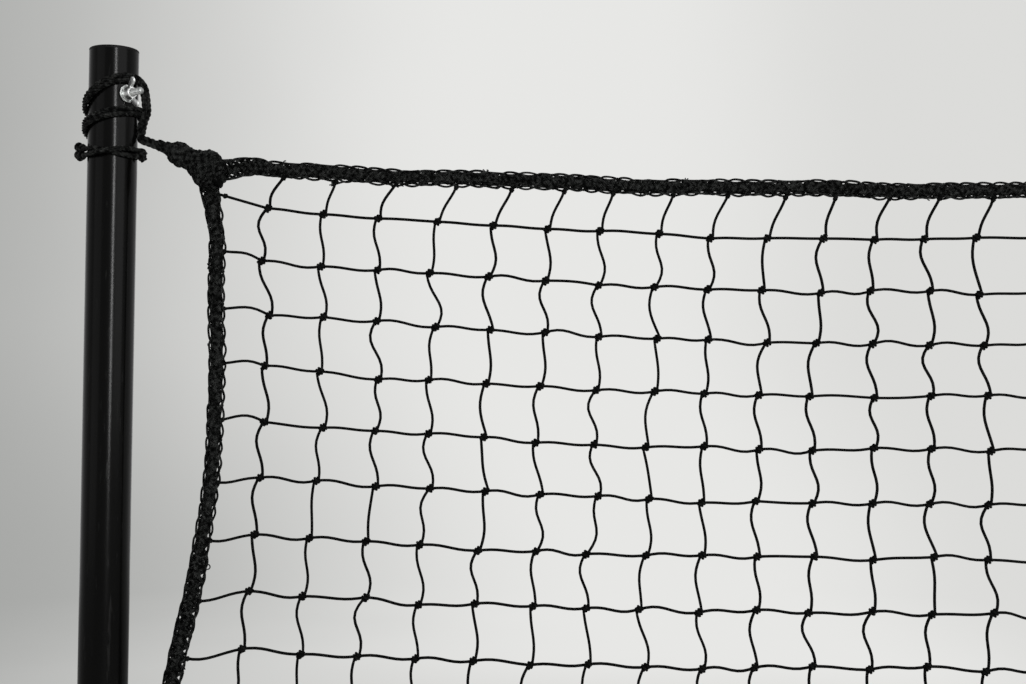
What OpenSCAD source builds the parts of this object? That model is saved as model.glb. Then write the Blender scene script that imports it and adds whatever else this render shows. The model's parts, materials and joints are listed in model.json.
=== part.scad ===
// Free-standing net for pitching practice: two uprights on a knock-down base,
// a knotted net in a rope border, lashed to the uprights, with a strike zone of webbing.
// X runs along the net, Y away from the pitcher, Z up. The origin is on the ground, at the middle.

/* [Frame] */
// Outside diameter of every frame tube
pole_d = 44.45; // [40:0.05:52]
// Wall of every frame tube
pole_wall = 1.6; // [1.2:0.1:2.4]
// From the net's edge at a corner to the upright's axis
corner_reach = 96.2; // [88:0.1:110]
// From an upright's lower end to the bottom of the net
net_clear = 204.2; // [180:0.1:240]
// Length of each foot tube
foot_l = 762; // [600:1:900]
// Height of each upright spigot above its collar
spigot_h = 190; // [175:1:220]
// Length of each rail spigot past its collar
rail_spigot_l = 110; // [95:1:150]
// Thickness of the weld collars that the tubes stop against
collar_h = 4; // [2:0.5:8]
// Radial room between a spigot and the tube round it
spigot_clearance = 0.2; // [0.1:0.05:0.5]
// Distance of each rail bolt from the end of the rail
rail_bolt_in = 50; // [30:1:70]

/* [Caps] */
// Rubber thickness round each foot end
cap_wall = 3; // [2:0.5:5]
// Depth of tube held in each foot cap
cap_depth = 42; // [30:1:60]
// Height of the flat tread under each foot cap
tread_h = 4; // [3:0.5:8]
// Width of the flat tread
tread_w = 36; // [24:1:44]
// Height of the grip ribs round a foot cap
cap_rib = 0.8; // [0.4:0.1:1.5]
// Number of grip ribs round a foot cap
cap_ribs = 4; // [2:1:6]
// Thickness of the flange on each upright's plug
plug_flange = 2.5; // [1.5:0.5:5]
// Depth of the plug inside the upright
plug_depth = 22; // [14:1:26]
// Wall of the hollow plug
plug_wall = 2; // [1.5:0.1:3]
// Number of sealing fins round a plug
plug_fins = 3; // [2:1:4]

/* [Fasteners] */
// Diameter of the bolts
bolt_d = 6.35; // [5:0.05:7]
// Length of thread that stands proud of the outer washer
bolt_proud = 22.2; // [18:0.1:30]
// Room round a bolt in a drilled tube
hole_clearance = 0.25; // [0.1:0.05:0.5]
// Width of the hexagon head across its flats
head_af = 11.1; // [9:0.1:14]
// Height of the hexagon head
head_h = 4.1; // [3:0.1:6]
// Outside diameter of the washers
washer_d = 15.9; // [13:0.1:17]
// Thickness of the washers
washer_t = 1.6; // [1:0.1:2]
// Room round a bolt in a washer
washer_clearance = 0.35; // [0.2:0.05:0.6]
// Radial running clearance of a wing nut on its bolt
nut_clearance = 0.05; // [0.02:0.01:0.1]
// Diameter of the wing nut's hub at its base
hub_d = 12; // [10.5:0.1:13]
// Height of the wing nut's hub
hub_h = 8; // [7:0.1:9]
// Width over the two wings
wing_span = 27.8; // [26:0.1:30]
// Height of the wing tips above the washer
wing_h = 14.2; // [13:0.1:16]
// Thickness of a wing
wing_t = 2.4; // [1.8:0.1:3]
// Radius of a wing's round ear
ear_r = 3.4; // [2.8:0.1:4]
// Turn of the net bolts out of the net's plane, towards the pitcher
bolt_turn = 42; // [30:1:50]
// Turn of the tightened wings away from upright
wing_rest = 12; // [0:1:45]
// Depth of the upper net bolts below the top of the uprights
bolt_drop = 41; // [36:1:44]

/* [Net] */
// Width of the net between the middles of its side borders
net_w = 1207.6; // [1160:0.1:1260]
// Height of the net between its top and bottom borders
net_h = 1157.8; // [1110:0.1:1210]
// Meshes across the net and down it
meshes = 24; // [22:1:24]
// Meshes between neighbouring strands of this simplified lattice
strand_step = 1.5; // [1.5:0.5:2]
// Width of the narrower meshes along the two side borders
edge_w = 45; // [40:1:50]
// Height of the shorter meshes along the top and bottom borders
edge_h = 41; // [36:1:46]
// Thickness of the twine
twine_d = 2.4; // [1.8:0.1:3]
// Thickness of the border rope
rope_d = 14; // [12:0.1:16]
// Depth of the net's upper corners below the top of the uprights
net_drop = 104; // [96:1:112]
// Sag of the top border in its middle
top_sag = 16; // [5:1:35]
// Sag of the bottom border in its middle
bottom_sag = 10; // [0:1:30]
// Share of each half side that hangs straight before it is drawn to the upright
straight_share = 0.46; // [0.3:0.02:0.6]
// Room between soft pieces and their neighbours
soft_gap = 0.4; // [0.35:0.05:0.6]

/* [Lashings] */
// Diameter of the lashing cord
cord_d = 5; // [4:0.1:5.5]
// Fall of the lashing from above the wing nut to below the bolt's head
bolt_fall = 28.5; // [27:0.5:33]
// Fall of the lashing from there to its level ring
ring_drop = 42; // [38:1:46]
// Fall of the level ring in a full turn
ring_fall = 8; // [6:0.5:12]
// Height of the first turn above the bolt
first_rise = 14; // [13.5:0.1:21]
// Turns of each corner lashing round its upright
lash_turns = 2.4; // [2.2:0.05:2.6]
// Length of the tail past the last turn
tail_l = 10; // [4:1:16]
// Diameter of the cord that ties each side border to its upright
tie_d = 4.5; // [3:0.1:6]
// Fall of a side tie in its full turn
tie_fall = 9; // [7:0.5:14]
// Height of each side tie above the net's middle line
tie_lift = 7; // [6:0.5:12]
// Room between an upright and the border rope where they are tied
tie_slack = 14; // [8:1:20]
// Height below the bolt where the lashing's strap meets the upright
strap_drop = 43; // [40:1:48]

/* [Corner knots] */
// Radius of each corner knot at its middle
knot_r = 17; // [14:0.5:20]
// Share of the corner's reach that the corner knot fills
knot_share = 0.54; // [0.48:0.01:0.56]
// Room that each level border leaves for a corner knot
level_start = 22; // [20:1:30]
// Room that each side border leaves for a corner knot
side_start = 20; // [18:1:30]
// Slope of each corner knot
knot_slope = 22; // [15:1:30]
// Height of the net's corner over the middle of its knot
knot_dip = 4; // [0:0.5:6]

/* [Strike zone] */
// Width of the zone in meshes
zone_cols = 8; // [6:2:10]
// Height of the zone in meshes
zone_rows = 11; // [8:1:12]
// Meshes above the zone
zone_above = 10; // [8:1:12]
// Width of the webbing
strap_w = 25; // [15:1:40]
// Thickness of the webbing
strap_t = 1.8; // [1:0.1:3]

/* [Hidden] */
$fn = 64;
SMOOTH = 48;
EPS = 0.01;
BIG = 400;

// Tubes
weld_rim = 0.6;
pole_r = pole_d / 2;
bore_r = pole_r - pole_wall;
spigot_r = bore_r - spigot_clearance;
collar_r = pole_r - weld_rim;
foot_z = tread_h + cap_wall + pole_r;
pole_z = foot_z + pole_r + collar_h;

// Caps
cap_r = pole_r + cap_wall;
cap_edge = 4;
cap_end = 4;
plug_seat = 0.1;
fin_t = 1.6;

// Fasteners
bolt_r = bolt_d / 2;
bolt_tip = 1;
seat_gap = 0.05;
washer_seat = pole_r + seat_gap;
nut_seat = washer_seat + washer_t + seat_gap;

// Net
half_w = net_w / 2;
mesh_w = (net_w - 2 * edge_w) / (meshes - 2);
mesh_h = (net_h - 2 * edge_h) / (meshes - 2);
net_bottom = pole_z + net_clear;
net_top = net_bottom + net_h;
pole_l = net_clear + net_h + net_drop;
pole_top = pole_z + pole_l;
pole_x = half_w + corner_reach;
rail_end = pole_x - pole_r - collar_h;
net_mid = (net_top + net_bottom) / 2;
rope_r = rope_d / 2;
rope_sides = 8;
rope_rings = 30;
twine_h = twine_d / 2;
tie_reach = pole_r + tie_slack + rope_r;
strand_end = rope_r + soft_gap + 0.2;
side_pull = pole_x - tie_reach - half_w;
pull_power = 1.7;
pull_round = 0.06;
strands = floor((meshes - 1) / strand_step);

// Bolt heights, the same distance outside the net at its top and bottom
upper_bolt_z = pole_top - bolt_drop;
lower_bolt_z = net_bottom - (upper_bolt_z - net_top);
rail_bolt_x = rail_end - rail_bolt_in;

// Lashings
cord_r = cord_d / 2;
cord_sides = 6;
turn_rings = 24;
wind_r = pole_r + soft_gap + cord_r;
first_angle = 15;
hop = cord_d + soft_gap + 0.3;
strap_end = 3;
knot_l = knot_share * corner_reach;
neck_r = 5.5;
lump_r = 9.3;
tie_r = tie_d / 2;
tie_clear = 0.7;
tie_start = 160;
tie_end = 556;
pole_rings = 8;
rope_bend_rings = 6;

// Side of the object: -1 for the left upright, 1 for the right one
LEFT = -1;
RIGHT = 1;

// ---------------------------------------------------------------- shape of the net

// Share of the side pull at a depth v: 0 at the corners, 1 at mid height
function pull(v) =
    let (away = sqrt(pow(2 * v - 1, 2) + pull_round * pull_round) - pull_round,
         near = max(0, 1 - away / (1 - straight_share)))
    pow(near, pull_power);

// Slope of the side borders against the upright at a depth v
function lean(v) = (pull(v + 0.01) - pull(v - 0.01)) * side_pull / (0.02 * net_h);

// Point of the net: u runs from -1 at the left border to 1 at the right, v from 0 down to 1
function net_point(u, v) = [
    u * (half_w + side_pull * pull(v)),
    0,
    net_top - v * net_h - (1 - u * u) * (top_sag * (1 - v) + bottom_sag * v)
];

// ---------------------------------------------------------------- swept tubes

function unit(v) = v / norm(v);
function tangent(path, i) =
    unit(path[min(i + 1, len(path) - 1)] - path[max(i - 1, 0)]);
function square_to(n, t) = unit(n - (n * t) * t);
function normals(path, first) = [
    for (i = 0, n = square_to(first, tangent(path, 0)); i < len(path);
         i = i + 1, n = i < len(path) ? square_to(n, tangent(path, i)) : n) n
];

// One unbroken tube along a path. The normals are carried along it without twist.
module tube(path, r, sides, first) {
    n = normals(path, first);
    rings = len(path);
    points = [
        for (i = [0 : rings - 1], k = [0 : sides - 1])
            let (t = tangent(path, i), b = cross(t, n[i]), a = 360 * k / sides)
            path[i] + r * (cos(a) * n[i] + sin(a) * b)
    ];
    sides_faces = [
        for (i = [0 : rings - 2], k = [0 : sides - 1])
            let (a = i * sides + k, b = i * sides + (k + 1) % sides)
            each [[a, a + sides, b], [b, a + sides, b + sides]]
    ];
    ends = [
        for (k = [1 : sides - 2])
            each [[0, k, k + 1],
                  [(rings - 1) * sides, (rings - 1) * sides + k + 1, (rings - 1) * sides + k]]
    ];
    polyhedron(points = points, faces = concat(sides_faces, ends), convexity = 10);
}

// Least distance between points of a path that are further apart along it than a few steps
function self_gap(path, step, d) = min([
    for (i = [0 : len(path) - 1], j = [i + step : 1 : len(path) - 1]) norm(path[i] - path[j])
]) - d;

// ---------------------------------------------------------------- tubes of the frame

module bolt_hole(r) {
    cylinder(r = r, h = BIG, center = true);
}

// Turns a fastener's own axis, +Z, to the bearing of a net bolt on one side
module net_bolt_axis(side) {
    mirror([side > 0 ? 1 : 0, 0, 0]) rotate([0, 0, -bolt_turn]) rotate([0, 90, 0]) children();
}

module pole(side) {
    color([0.05, 0.055, 0.055])
    difference() {
        translate([side * pole_x, 0, pole_z]) cylinder(r = pole_r, h = pole_l);
        translate([side * pole_x, 0, pole_z - 1]) cylinder(r = bore_r, h = pole_l + 2);
        for (z = [upper_bolt_z, lower_bolt_z])
            translate([side * pole_x, 0, z])
                net_bolt_axis(side) bolt_hole(bolt_r + hole_clearance);
    }
}

module foot(side) {
    spigot_top = pole_z + spigot_h;
    color([0.05, 0.055, 0.055])
    difference() {
        union() {
            translate([side * pole_x, 0, foot_z]) rotate([90, 0, 0])
                cylinder(r = pole_r, h = foot_l, center = true);
            translate([side * pole_x, 0, foot_z]) cylinder(r = collar_r, h = pole_z - foot_z);
            translate([side * pole_x, 0, foot_z]) cylinder(r = spigot_r, h = spigot_top - foot_z);
            translate([side * pole_x, 0, foot_z]) rotate([0, -side * 90, 0]) {
                cylinder(r = collar_r, h = pole_x - rail_end);
                cylinder(r = spigot_r, h = pole_x - rail_end + rail_spigot_l);
            }
        }
        translate([side * pole_x, 0, foot_z]) rotate([90, 0, 0])
            cylinder(r = bore_r, h = foot_l + 2, center = true);
        translate([side * pole_x, 0, pole_z]) cylinder(r = spigot_r - pole_wall, h = BIG);
        translate([side * rail_end, 0, foot_z]) rotate([0, -side * 90, 0])
            cylinder(r = spigot_r - pole_wall, h = BIG);
        translate([side * pole_x, 0, lower_bolt_z])
            net_bolt_axis(side) bolt_hole(bolt_r + hole_clearance);
        translate([side * rail_bolt_x, 0, foot_z])
            rotate([90, 0, 0]) bolt_hole(bolt_r + hole_clearance);
    }
}

module base_rail() {
    color([0.05, 0.055, 0.055])
    difference() {
        translate([0, 0, foot_z]) rotate([0, 90, 0])
            cylinder(r = pole_r, h = 2 * rail_end, center = true);
        translate([0, 0, foot_z]) rotate([0, 90, 0])
            cylinder(r = bore_r, h = 2 * rail_end + 2, center = true);
        for (side = [LEFT, RIGHT])
            translate([side * rail_bolt_x, 0, foot_z])
                rotate([90, 0, 0]) bolt_hole(bolt_r + hole_clearance);
    }
}

// ---------------------------------------------------------------- caps and plugs

// Moulded rubber end: ribbed sleeve with a rounded end on a flat tread
module foot_cap(side, end) {
    length = cap_depth + cap_end;
    rib_pitch = cap_depth / (cap_ribs + 1);
    color([0.07, 0.07, 0.07])
    translate([side * pole_x, end * (foot_l / 2 + cap_end), foot_z])
    rotate([end * 90, 0, 0])
    difference() {
        union() {
            rotate_extrude() {
                square([cap_r - cap_edge, length]);
                translate([0, cap_edge]) square([cap_r, length - cap_edge]);
                translate([cap_r - cap_edge, cap_edge]) circle(r = cap_edge);
                for (i = [1 : cap_ribs])
                    translate([cap_r - 1, cap_end + i * rib_pitch]) square([1 + cap_rib, 2]);
            }
            translate([-tread_w / 2, end > 0 ? -foot_z : 0, cap_edge])
                cube([tread_w, foot_z, length - cap_edge]);
        }
        translate([0, 0, cap_end]) cylinder(r = pole_r + plug_seat, h = length);
    }
}

// Moulded plug: flush flange with a softened rim, hollow stem and sealing fins
module pole_plug(side) {
    stem_r = bore_r - 0.7;
    fin_pitch = plug_depth / (plug_fins + 0.5);
    rim = 1.2;
    color([0.06, 0.06, 0.06])
    translate([side * pole_x, 0, pole_top])
    difference() {
        rotate_extrude() {
            square([pole_r - rim, plug_flange]);
            square([pole_r, plug_flange - rim]);
            translate([pole_r - rim, plug_flange - rim]) circle(r = rim);
            translate([0, -plug_depth]) square([stem_r, plug_depth]);
            for (i = [1 : plug_fins])
                translate([0, -i * fin_pitch]) square([bore_r - plug_seat, fin_t]);
        }
        translate([0, 0, -plug_depth - 1]) cylinder(r = stem_r - plug_wall, h = plug_depth + 1);
    }
}

// ---------------------------------------------------------------- fasteners, along +Z

module hex_bolt() {
    back = pole_r + seat_gap + washer_t + seat_gap;
    tip = washer_seat + washer_t + bolt_proud;
    color([0.72, 0.73, 0.72]) {
        translate([0, 0, -back - head_h])
            cylinder(r = head_af / 2 / cos(30), h = head_h, $fn = 6);
        translate([0, 0, -back - 1]) cylinder(r = bolt_r, h = back + 1 + tip - bolt_tip);
        translate([0, 0, tip - bolt_tip - EPS])
            cylinder(r1 = bolt_r, r2 = bolt_r - bolt_tip * 0.8, h = bolt_tip, $fn = SMOOTH);
    }
}

module washer() {
    color([0.62, 0.63, 0.63])
    difference() {
        cylinder(r = washer_d / 2, h = washer_t);
        translate([0, 0, -1]) cylinder(r = bolt_r + washer_clearance, h = washer_t + 2);
    }
}

// One wing's outline: a blade that climbs out of the hub into a round ear
module wing_outline() {
    ear = [wing_span / 2 - ear_r, wing_h - ear_r];
    translate(ear) circle(r = ear_r);
    polygon([
        [bolt_r + 0.6, 1.2],
        [hub_d / 2 + 0.6, 1.8],
        ear + ear_r * [cos(-35), sin(-35)],
        ear + ear_r * [cos(145), sin(145)],
        [hub_d / 2 - 0.2, hub_h - 0.9],
        [bolt_r + 0.6, hub_h - 0.6]
    ]);
}

module wing_nut() {
    base_h = hub_h * 0.35;
    color([0.75, 0.76, 0.75])
    difference() {
        union() {
            cylinder(r = hub_d / 2, h = base_h);
            translate([0, 0, base_h - EPS])
                cylinder(r1 = hub_d / 2, r2 = hub_d / 2 - 0.9, h = hub_h - base_h + EPS);
            for (turn = [0, 180])
                rotate([90, 0, turn]) translate([0, 0, -wing_t / 2])
                    linear_extrude(height = wing_t) wing_outline();
        }
        translate([0, 0, -1]) cylinder(r = bolt_r + nut_clearance, h = wing_h + 2);
    }
}

// Puts a fastener piece on a bolt's axis: a net bolt at a height, or a rail bolt
module at_net_bolt(side, z) {
    translate([side * pole_x, 0, z]) net_bolt_axis(side) children();
}

module at_rail_bolt(side) {
    translate([side * rail_bolt_x, 0, foot_z]) rotate([90, 0, 0]) children();
}

module seated_washer() {
    translate([0, 0, washer_seat]) washer();
}

module seated_nut() {
    translate([0, 0, nut_seat]) rotate([0, 0, wing_rest]) wing_nut();
}

module head_washers() {
    for (side = [LEFT, RIGHT]) {
        for (z = [upper_bolt_z, lower_bolt_z])
            at_net_bolt(side, z) mirror([0, 0, 1]) seated_washer();
        at_rail_bolt(side) mirror([0, 0, 1]) seated_washer();
    }
}

// ---------------------------------------------------------------- net and border

// The knotted net as one lattice of square strands that follows the hang of the net.
// Each crossing has eight corners, numbered x + 2 z + 4 y, and each strand end has four.
module net_mesh() {
    n = strands;
    step_u = strand_step * mesh_w / half_w;
    step_v = strand_step * mesh_h / net_h;
    last = n - 1;
    crossing = function (i, j) net_point((i - last / 2) * step_u, 0.5 + (j - last / 2) * step_v);
    corner = function (p, x, z, y) p + twine_h * [2 * x - 1, 2 * y - 1, 2 * z - 1];
    id = function (i, j, x, z, y) 8 * (j * n + i) + x + 2 * z + 4 * y;
    ends = 8 * n * n;
    side_end = function (j, side)
        let (v = 0.5 + (j - last / 2) * step_v, p = net_point(side, v), q = crossing(side < 0 ? 0 : last, j),
             inset = strand_end * sqrt(1 + pow(lean(v), 2)) + twine_h * abs(lean(v)))
        [p[0] - side * inset, 0, p[2] + (q[2] - p[2]) * inset / abs(q[0] - p[0])];
    rim_end = function (i, down)
        let (p = net_point((i - last / 2) * step_u, down))
        [p[0], 0, p[2] + (2 * down - 1) * strand_end];
    loop = [[0, 0], [1, 0], [1, 1], [0, 1]];

    points = concat(
        [for (j = [0 : last], i = [0 : last], y = [0, 1], z = [0, 1], x = [0, 1])
            corner(crossing(i, j), x, z, y)],
        [for (side = [LEFT, RIGHT], j = [0 : last], c = loop)
            let (p = side_end(j, side)) [p[0], (2 * c[1] - 1) * twine_h, p[2] + (2 * c[0] - 1) * twine_h]],
        [for (down = [0, 1], i = [0 : last], c = loop)
            let (p = rim_end(i, down)) [p[0] + (2 * c[0] - 1) * twine_h, (2 * c[1] - 1) * twine_h, p[2]]]
    );
    side_ring = function (i, j, x) [for (c = loop) id(i, j, x, c[0], c[1])];
    rim_ring = function (i, j, z) [for (c = loop) id(i, j, c[0], z, c[1])];
    end_ring = function (k) [for (c = [0 : 3]) ends + 4 * k + c];
    strand = function (a, b) [
        for (k = [0 : 3]) let (m = (k + 1) % 4) each [[a[k], a[m], b[k]], [a[m], b[m], b[k]]]
    ];
    lid = function (a) [[a[0], a[1], a[2]], [a[0], a[2], a[3]]];
    flip = function (faces) [for (f = faces) [f[0], f[2], f[1]]];
    faces = concat(
        [for (j = [0 : last], i = [0 : last - 1])
            each strand(side_ring(i, j, 1), side_ring(i + 1, j, 0))],
        [for (j = [0 : last - 1], i = [0 : last])
            each strand(rim_ring(i, j, 0), rim_ring(i, j + 1, 1))],
        [for (j = [0 : last]) each concat(
            strand(end_ring(j), side_ring(0, j, 0)), flip(lid(end_ring(j))),
            strand(side_ring(last, j, 1), end_ring(n + j)), lid(end_ring(n + j)))],
        [for (i = [0 : last]) each concat(
            strand(end_ring(2 * n + i), rim_ring(i, 0, 1)), flip(lid(end_ring(2 * n + i))),
            strand(rim_ring(i, last, 0), end_ring(3 * n + i)), lid(end_ring(3 * n + i)))],
        [for (j = [0 : last], i = [0 : last], y = [0, 1])
            let (q = [id(i, j, 0, 0, y), id(i, j, 0, 1, y), id(i, j, 1, 1, y), id(i, j, 1, 0, y)])
            each (y == 0 ? lid(q) : flip(lid(q)))]
    );
    color([0.08, 0.08, 0.08]) polyhedron(points = points, faces = faces, convexity = 10);
}

module border_along(path) {
    color([0.1, 0.105, 0.1]) tube(path, rope_r, rope_sides, [0, 1, 0]);
}

module border_level(v, from) {
    border_along([for (i = [0 : rope_rings - 1])
        net_point((1 - from / half_w) * (2 * i / (rope_rings - 1) - 1), v)]);
}

module border_side(side, from) {
    border_along([for (i = [0 : rope_rings - 1])
        net_point(side, from / net_h + (1 - 2 * from / net_h) * i / (rope_rings - 1))]);
}

// ---------------------------------------------------------------- knots, lashings and ties

// Bearing of a corner: the two top corners are upright, the two bottom ones their mirror image
module at_corner(side, down) {
    translate([0, 0, down ? 2 * net_mid : 0]) mirror([0, 0, down ? 1 : 0])
        mirror([side > 0 ? 1 : 0, 0, 0]) children();
}

// Radius of a corner knot at a distance s from its narrow end: a small lump, then the main one
function knot_radius(s) =
    let (lump = exp(-pow((s - 0.3 * knot_l) / (0.17 * knot_l), 2)),
         main = exp(-pow((s - 0.92 * knot_l) / (0.33 * knot_l), 2)))
    neck_r + (lump_r - neck_r) * lump + (knot_r - neck_r) * main;

module corner_knot() {
    steps = 18;
    reach = knot_l + knot_r + 1;
    color([0.1, 0.105, 0.1])
    translate([-half_w, 0, net_top - knot_dip]) rotate([0, knot_slope, 0]) rotate([0, -90, 0])
    rotate_extrude() polygon(concat(
        [[0, knot_l]],
        [for (i = [0 : steps]) let (s = reach * i / steps) [knot_radius(s), knot_l - s]],
        [[0, knot_l - reach]]
    ));
}

// Centre line of the top left lashing, from the corner knot to its tail
knot_tip = [-half_w, 0, net_top - knot_dip]
    + (knot_l + soft_gap) * [-cos(knot_slope), 0, sin(knot_slope)];
function round_pole(off, a, z) =
    [(wind_r + off) * cos(a) - pole_x, -(wind_r + off) * sin(a), upper_bolt_z + z];
// Eased step from 0 to 1 over a stretch of turns
function ease(turn, from, to) =
    let (x = min(1, max(0, (turn - from) / (to - from)))) x * x * (3 - 2 * x);
// Height of the winding: over the wing nut, under the bolt's head behind, then down to a ring
function wind_z(turn) = first_rise - bolt_fall * ease(turn, 0.08, 0.53)
    - ring_drop * ease(turn, 0.95, 2.05) - ring_fall * max(0, turn - 1.95);

// The standing part climbs the inner side of the upright, outside the turn that it crosses
climb = [
    [0.61, -4, -37], [0.88, -10, -30], [1.14, -15, -22], [1.16, -18, -13],
    [1.1, -17, -3], [0.95, -14, 5], [0.6, -7, 10.5], [0.2, 3, 13.5]
];
strap_foot = round_pole(0.53 * hop, strap_end, -strap_drop);
lash_path = concat(
    [knot_tip, knot_tip + 0.5 * (strap_foot - knot_tip), strap_foot],
    [for (p = climb) round_pole(p[0] * hop, p[1], p[2])],
    [for (i = [0 : turn_rings * lash_turns])
        round_pole(0, first_angle + 360 * i / turn_rings, wind_z(i / turn_rings))],
    [for (s = [0.35, 0.7, 1])
        round_pole(s * s * tail_l, first_angle + 360 * lash_turns + 14 * s, wind_z(lash_turns) - s)]
);

module lashing() {
    color([0.09, 0.09, 0.09]) tube(lash_path, cord_r, cord_sides, [0, 1, 0]);
}

// Belt line round the upright and the border rope: the tie leaves one for the other at belt_angle
pole_belt = pole_r + tie_clear + tie_r;
rope_belt = rope_r + tie_clear + tie_r;
belt_angle = acos((pole_belt - rope_belt) / tie_reach);
function tie_run(from, to, rings, centre, radius) = [
    for (i = [0 : rings]) let (a = from + (to - from) * i / rings, part = (a - tie_start) / (tie_end - tie_start))
        [centre + radius * cos(a) - pole_x, radius * sin(a), net_mid + tie_lift + tie_fall * (0.5 - part)]
];
tie_path = concat(
    tie_run(tie_start, 360 - belt_angle, pole_rings, 0, pole_belt),
    tie_run(360 - belt_angle, 360 + belt_angle, rope_bend_rings, tie_reach, rope_belt),
    tie_run(360 + belt_angle, tie_end, pole_rings, 0, pole_belt)
);

module side_tie(side) {
    color([0.09, 0.09, 0.09])
    mirror([side > 0 ? 1 : 0, 0, 0]) tube(tie_path, tie_r, cord_sides, [0, 0, 1]);
}

echo(lashing_least_gap = self_gap(lash_path, 5, cord_d));
echo(side_tie_least_gap = self_gap(tie_path, 5, tie_d));

// ---------------------------------------------------------------- strike zone

zone_x = zone_cols * mesh_w / 2;
zone_top = net_point(0, (edge_h + (zone_above - 1) * mesh_h) / net_h)[2];
zone_bottom = zone_top - zone_rows * mesh_h;
strap_y = -twine_h - soft_gap - strap_t;

module strap(size, at) {
    color([0.85, 0.86, 0.84]) translate(at) cube(size);
}

module zone_strap_level(z) {
    strap([2 * zone_x + strap_w, strap_t, strap_w],
        [-zone_x - strap_w / 2, strap_y - strap_t - seat_gap, z - strap_w / 2]);
}

module zone_strap_upright(side) {
    strap([strap_w, strap_t, zone_top - zone_bottom + strap_w],
        [side * zone_x - strap_w / 2, strap_y, zone_bottom - strap_w / 2]);
}

// ---------------------------------------------------------------- the pieces

foot(LEFT);  // foot_left
foot(RIGHT);  // foot_right
foot_cap(LEFT, -1);  // foot_cap_left_front
foot_cap(LEFT, 1);  // foot_cap_left_back
foot_cap(RIGHT, -1);  // foot_cap_right_front
foot_cap(RIGHT, 1);  // foot_cap_right_back
base_rail();
pole(LEFT);  // pole_left
pole(RIGHT);  // pole_right
pole_plug(LEFT);  // pole_plug_left
pole_plug(RIGHT);  // pole_plug_right
at_net_bolt(LEFT, upper_bolt_z) hex_bolt();  // bolt_top_left
at_net_bolt(RIGHT, upper_bolt_z) hex_bolt();  // bolt_top_right
at_net_bolt(LEFT, lower_bolt_z) hex_bolt();  // bolt_bottom_left
at_net_bolt(RIGHT, lower_bolt_z) hex_bolt();  // bolt_bottom_right
at_rail_bolt(LEFT) hex_bolt();  // bolt_rail_left
at_rail_bolt(RIGHT) hex_bolt();  // bolt_rail_right
head_washers();
at_net_bolt(LEFT, upper_bolt_z) seated_washer();  // washer_top_left
at_net_bolt(RIGHT, upper_bolt_z) seated_washer();  // washer_top_right
at_net_bolt(LEFT, lower_bolt_z) seated_washer();  // washer_bottom_left
at_net_bolt(RIGHT, lower_bolt_z) seated_washer();  // washer_bottom_right
at_rail_bolt(LEFT) seated_washer();  // washer_rail_left
at_rail_bolt(RIGHT) seated_washer();  // washer_rail_right
at_net_bolt(LEFT, upper_bolt_z) seated_nut();  // wing_nut_top_left
at_net_bolt(RIGHT, upper_bolt_z) seated_nut();  // wing_nut_top_right
at_net_bolt(LEFT, lower_bolt_z) seated_nut();  // wing_nut_bottom_left
at_net_bolt(RIGHT, lower_bolt_z) seated_nut();  // wing_nut_bottom_right
at_rail_bolt(LEFT) seated_nut();  // wing_nut_rail_left
at_rail_bolt(RIGHT) seated_nut();  // wing_nut_rail_right
net_mesh();
border_level(0, level_start);  // border_top
border_level(1, level_start);  // border_bottom
border_side(LEFT, side_start);  // border_left
border_side(RIGHT, side_start);  // border_right
at_corner(LEFT, false) corner_knot();  // corner_knot_top_left
at_corner(RIGHT, false) corner_knot();  // corner_knot_top_right
at_corner(LEFT, true) corner_knot();  // corner_knot_bottom_left
at_corner(RIGHT, true) corner_knot();  // corner_knot_bottom_right
at_corner(LEFT, false) lashing();  // lashing_top_left
at_corner(RIGHT, false) lashing();  // lashing_top_right
at_corner(LEFT, true) lashing();  // lashing_bottom_left
at_corner(RIGHT, true) lashing();  // lashing_bottom_right
side_tie(LEFT);  // side_tie_left
side_tie(RIGHT);  // side_tie_right
zone_strap_level(zone_top);  // zone_strap_top
zone_strap_level(zone_bottom);  // zone_strap_bottom
zone_strap_upright(LEFT);  // zone_strap_left
zone_strap_upright(RIGHT);  // zone_strap_right
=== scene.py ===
"""Looks of the knock-down pitching target net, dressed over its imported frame."""

import json
import logging
import random
from dataclasses import dataclass
from enum import Enum
from math import acos, copysign, cos, exp, hypot, pi, radians, sin
from typing import Any, Callable, Iterable, Sequence

import bmesh
import bpy
from mathutils import Matrix, Vector

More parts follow.
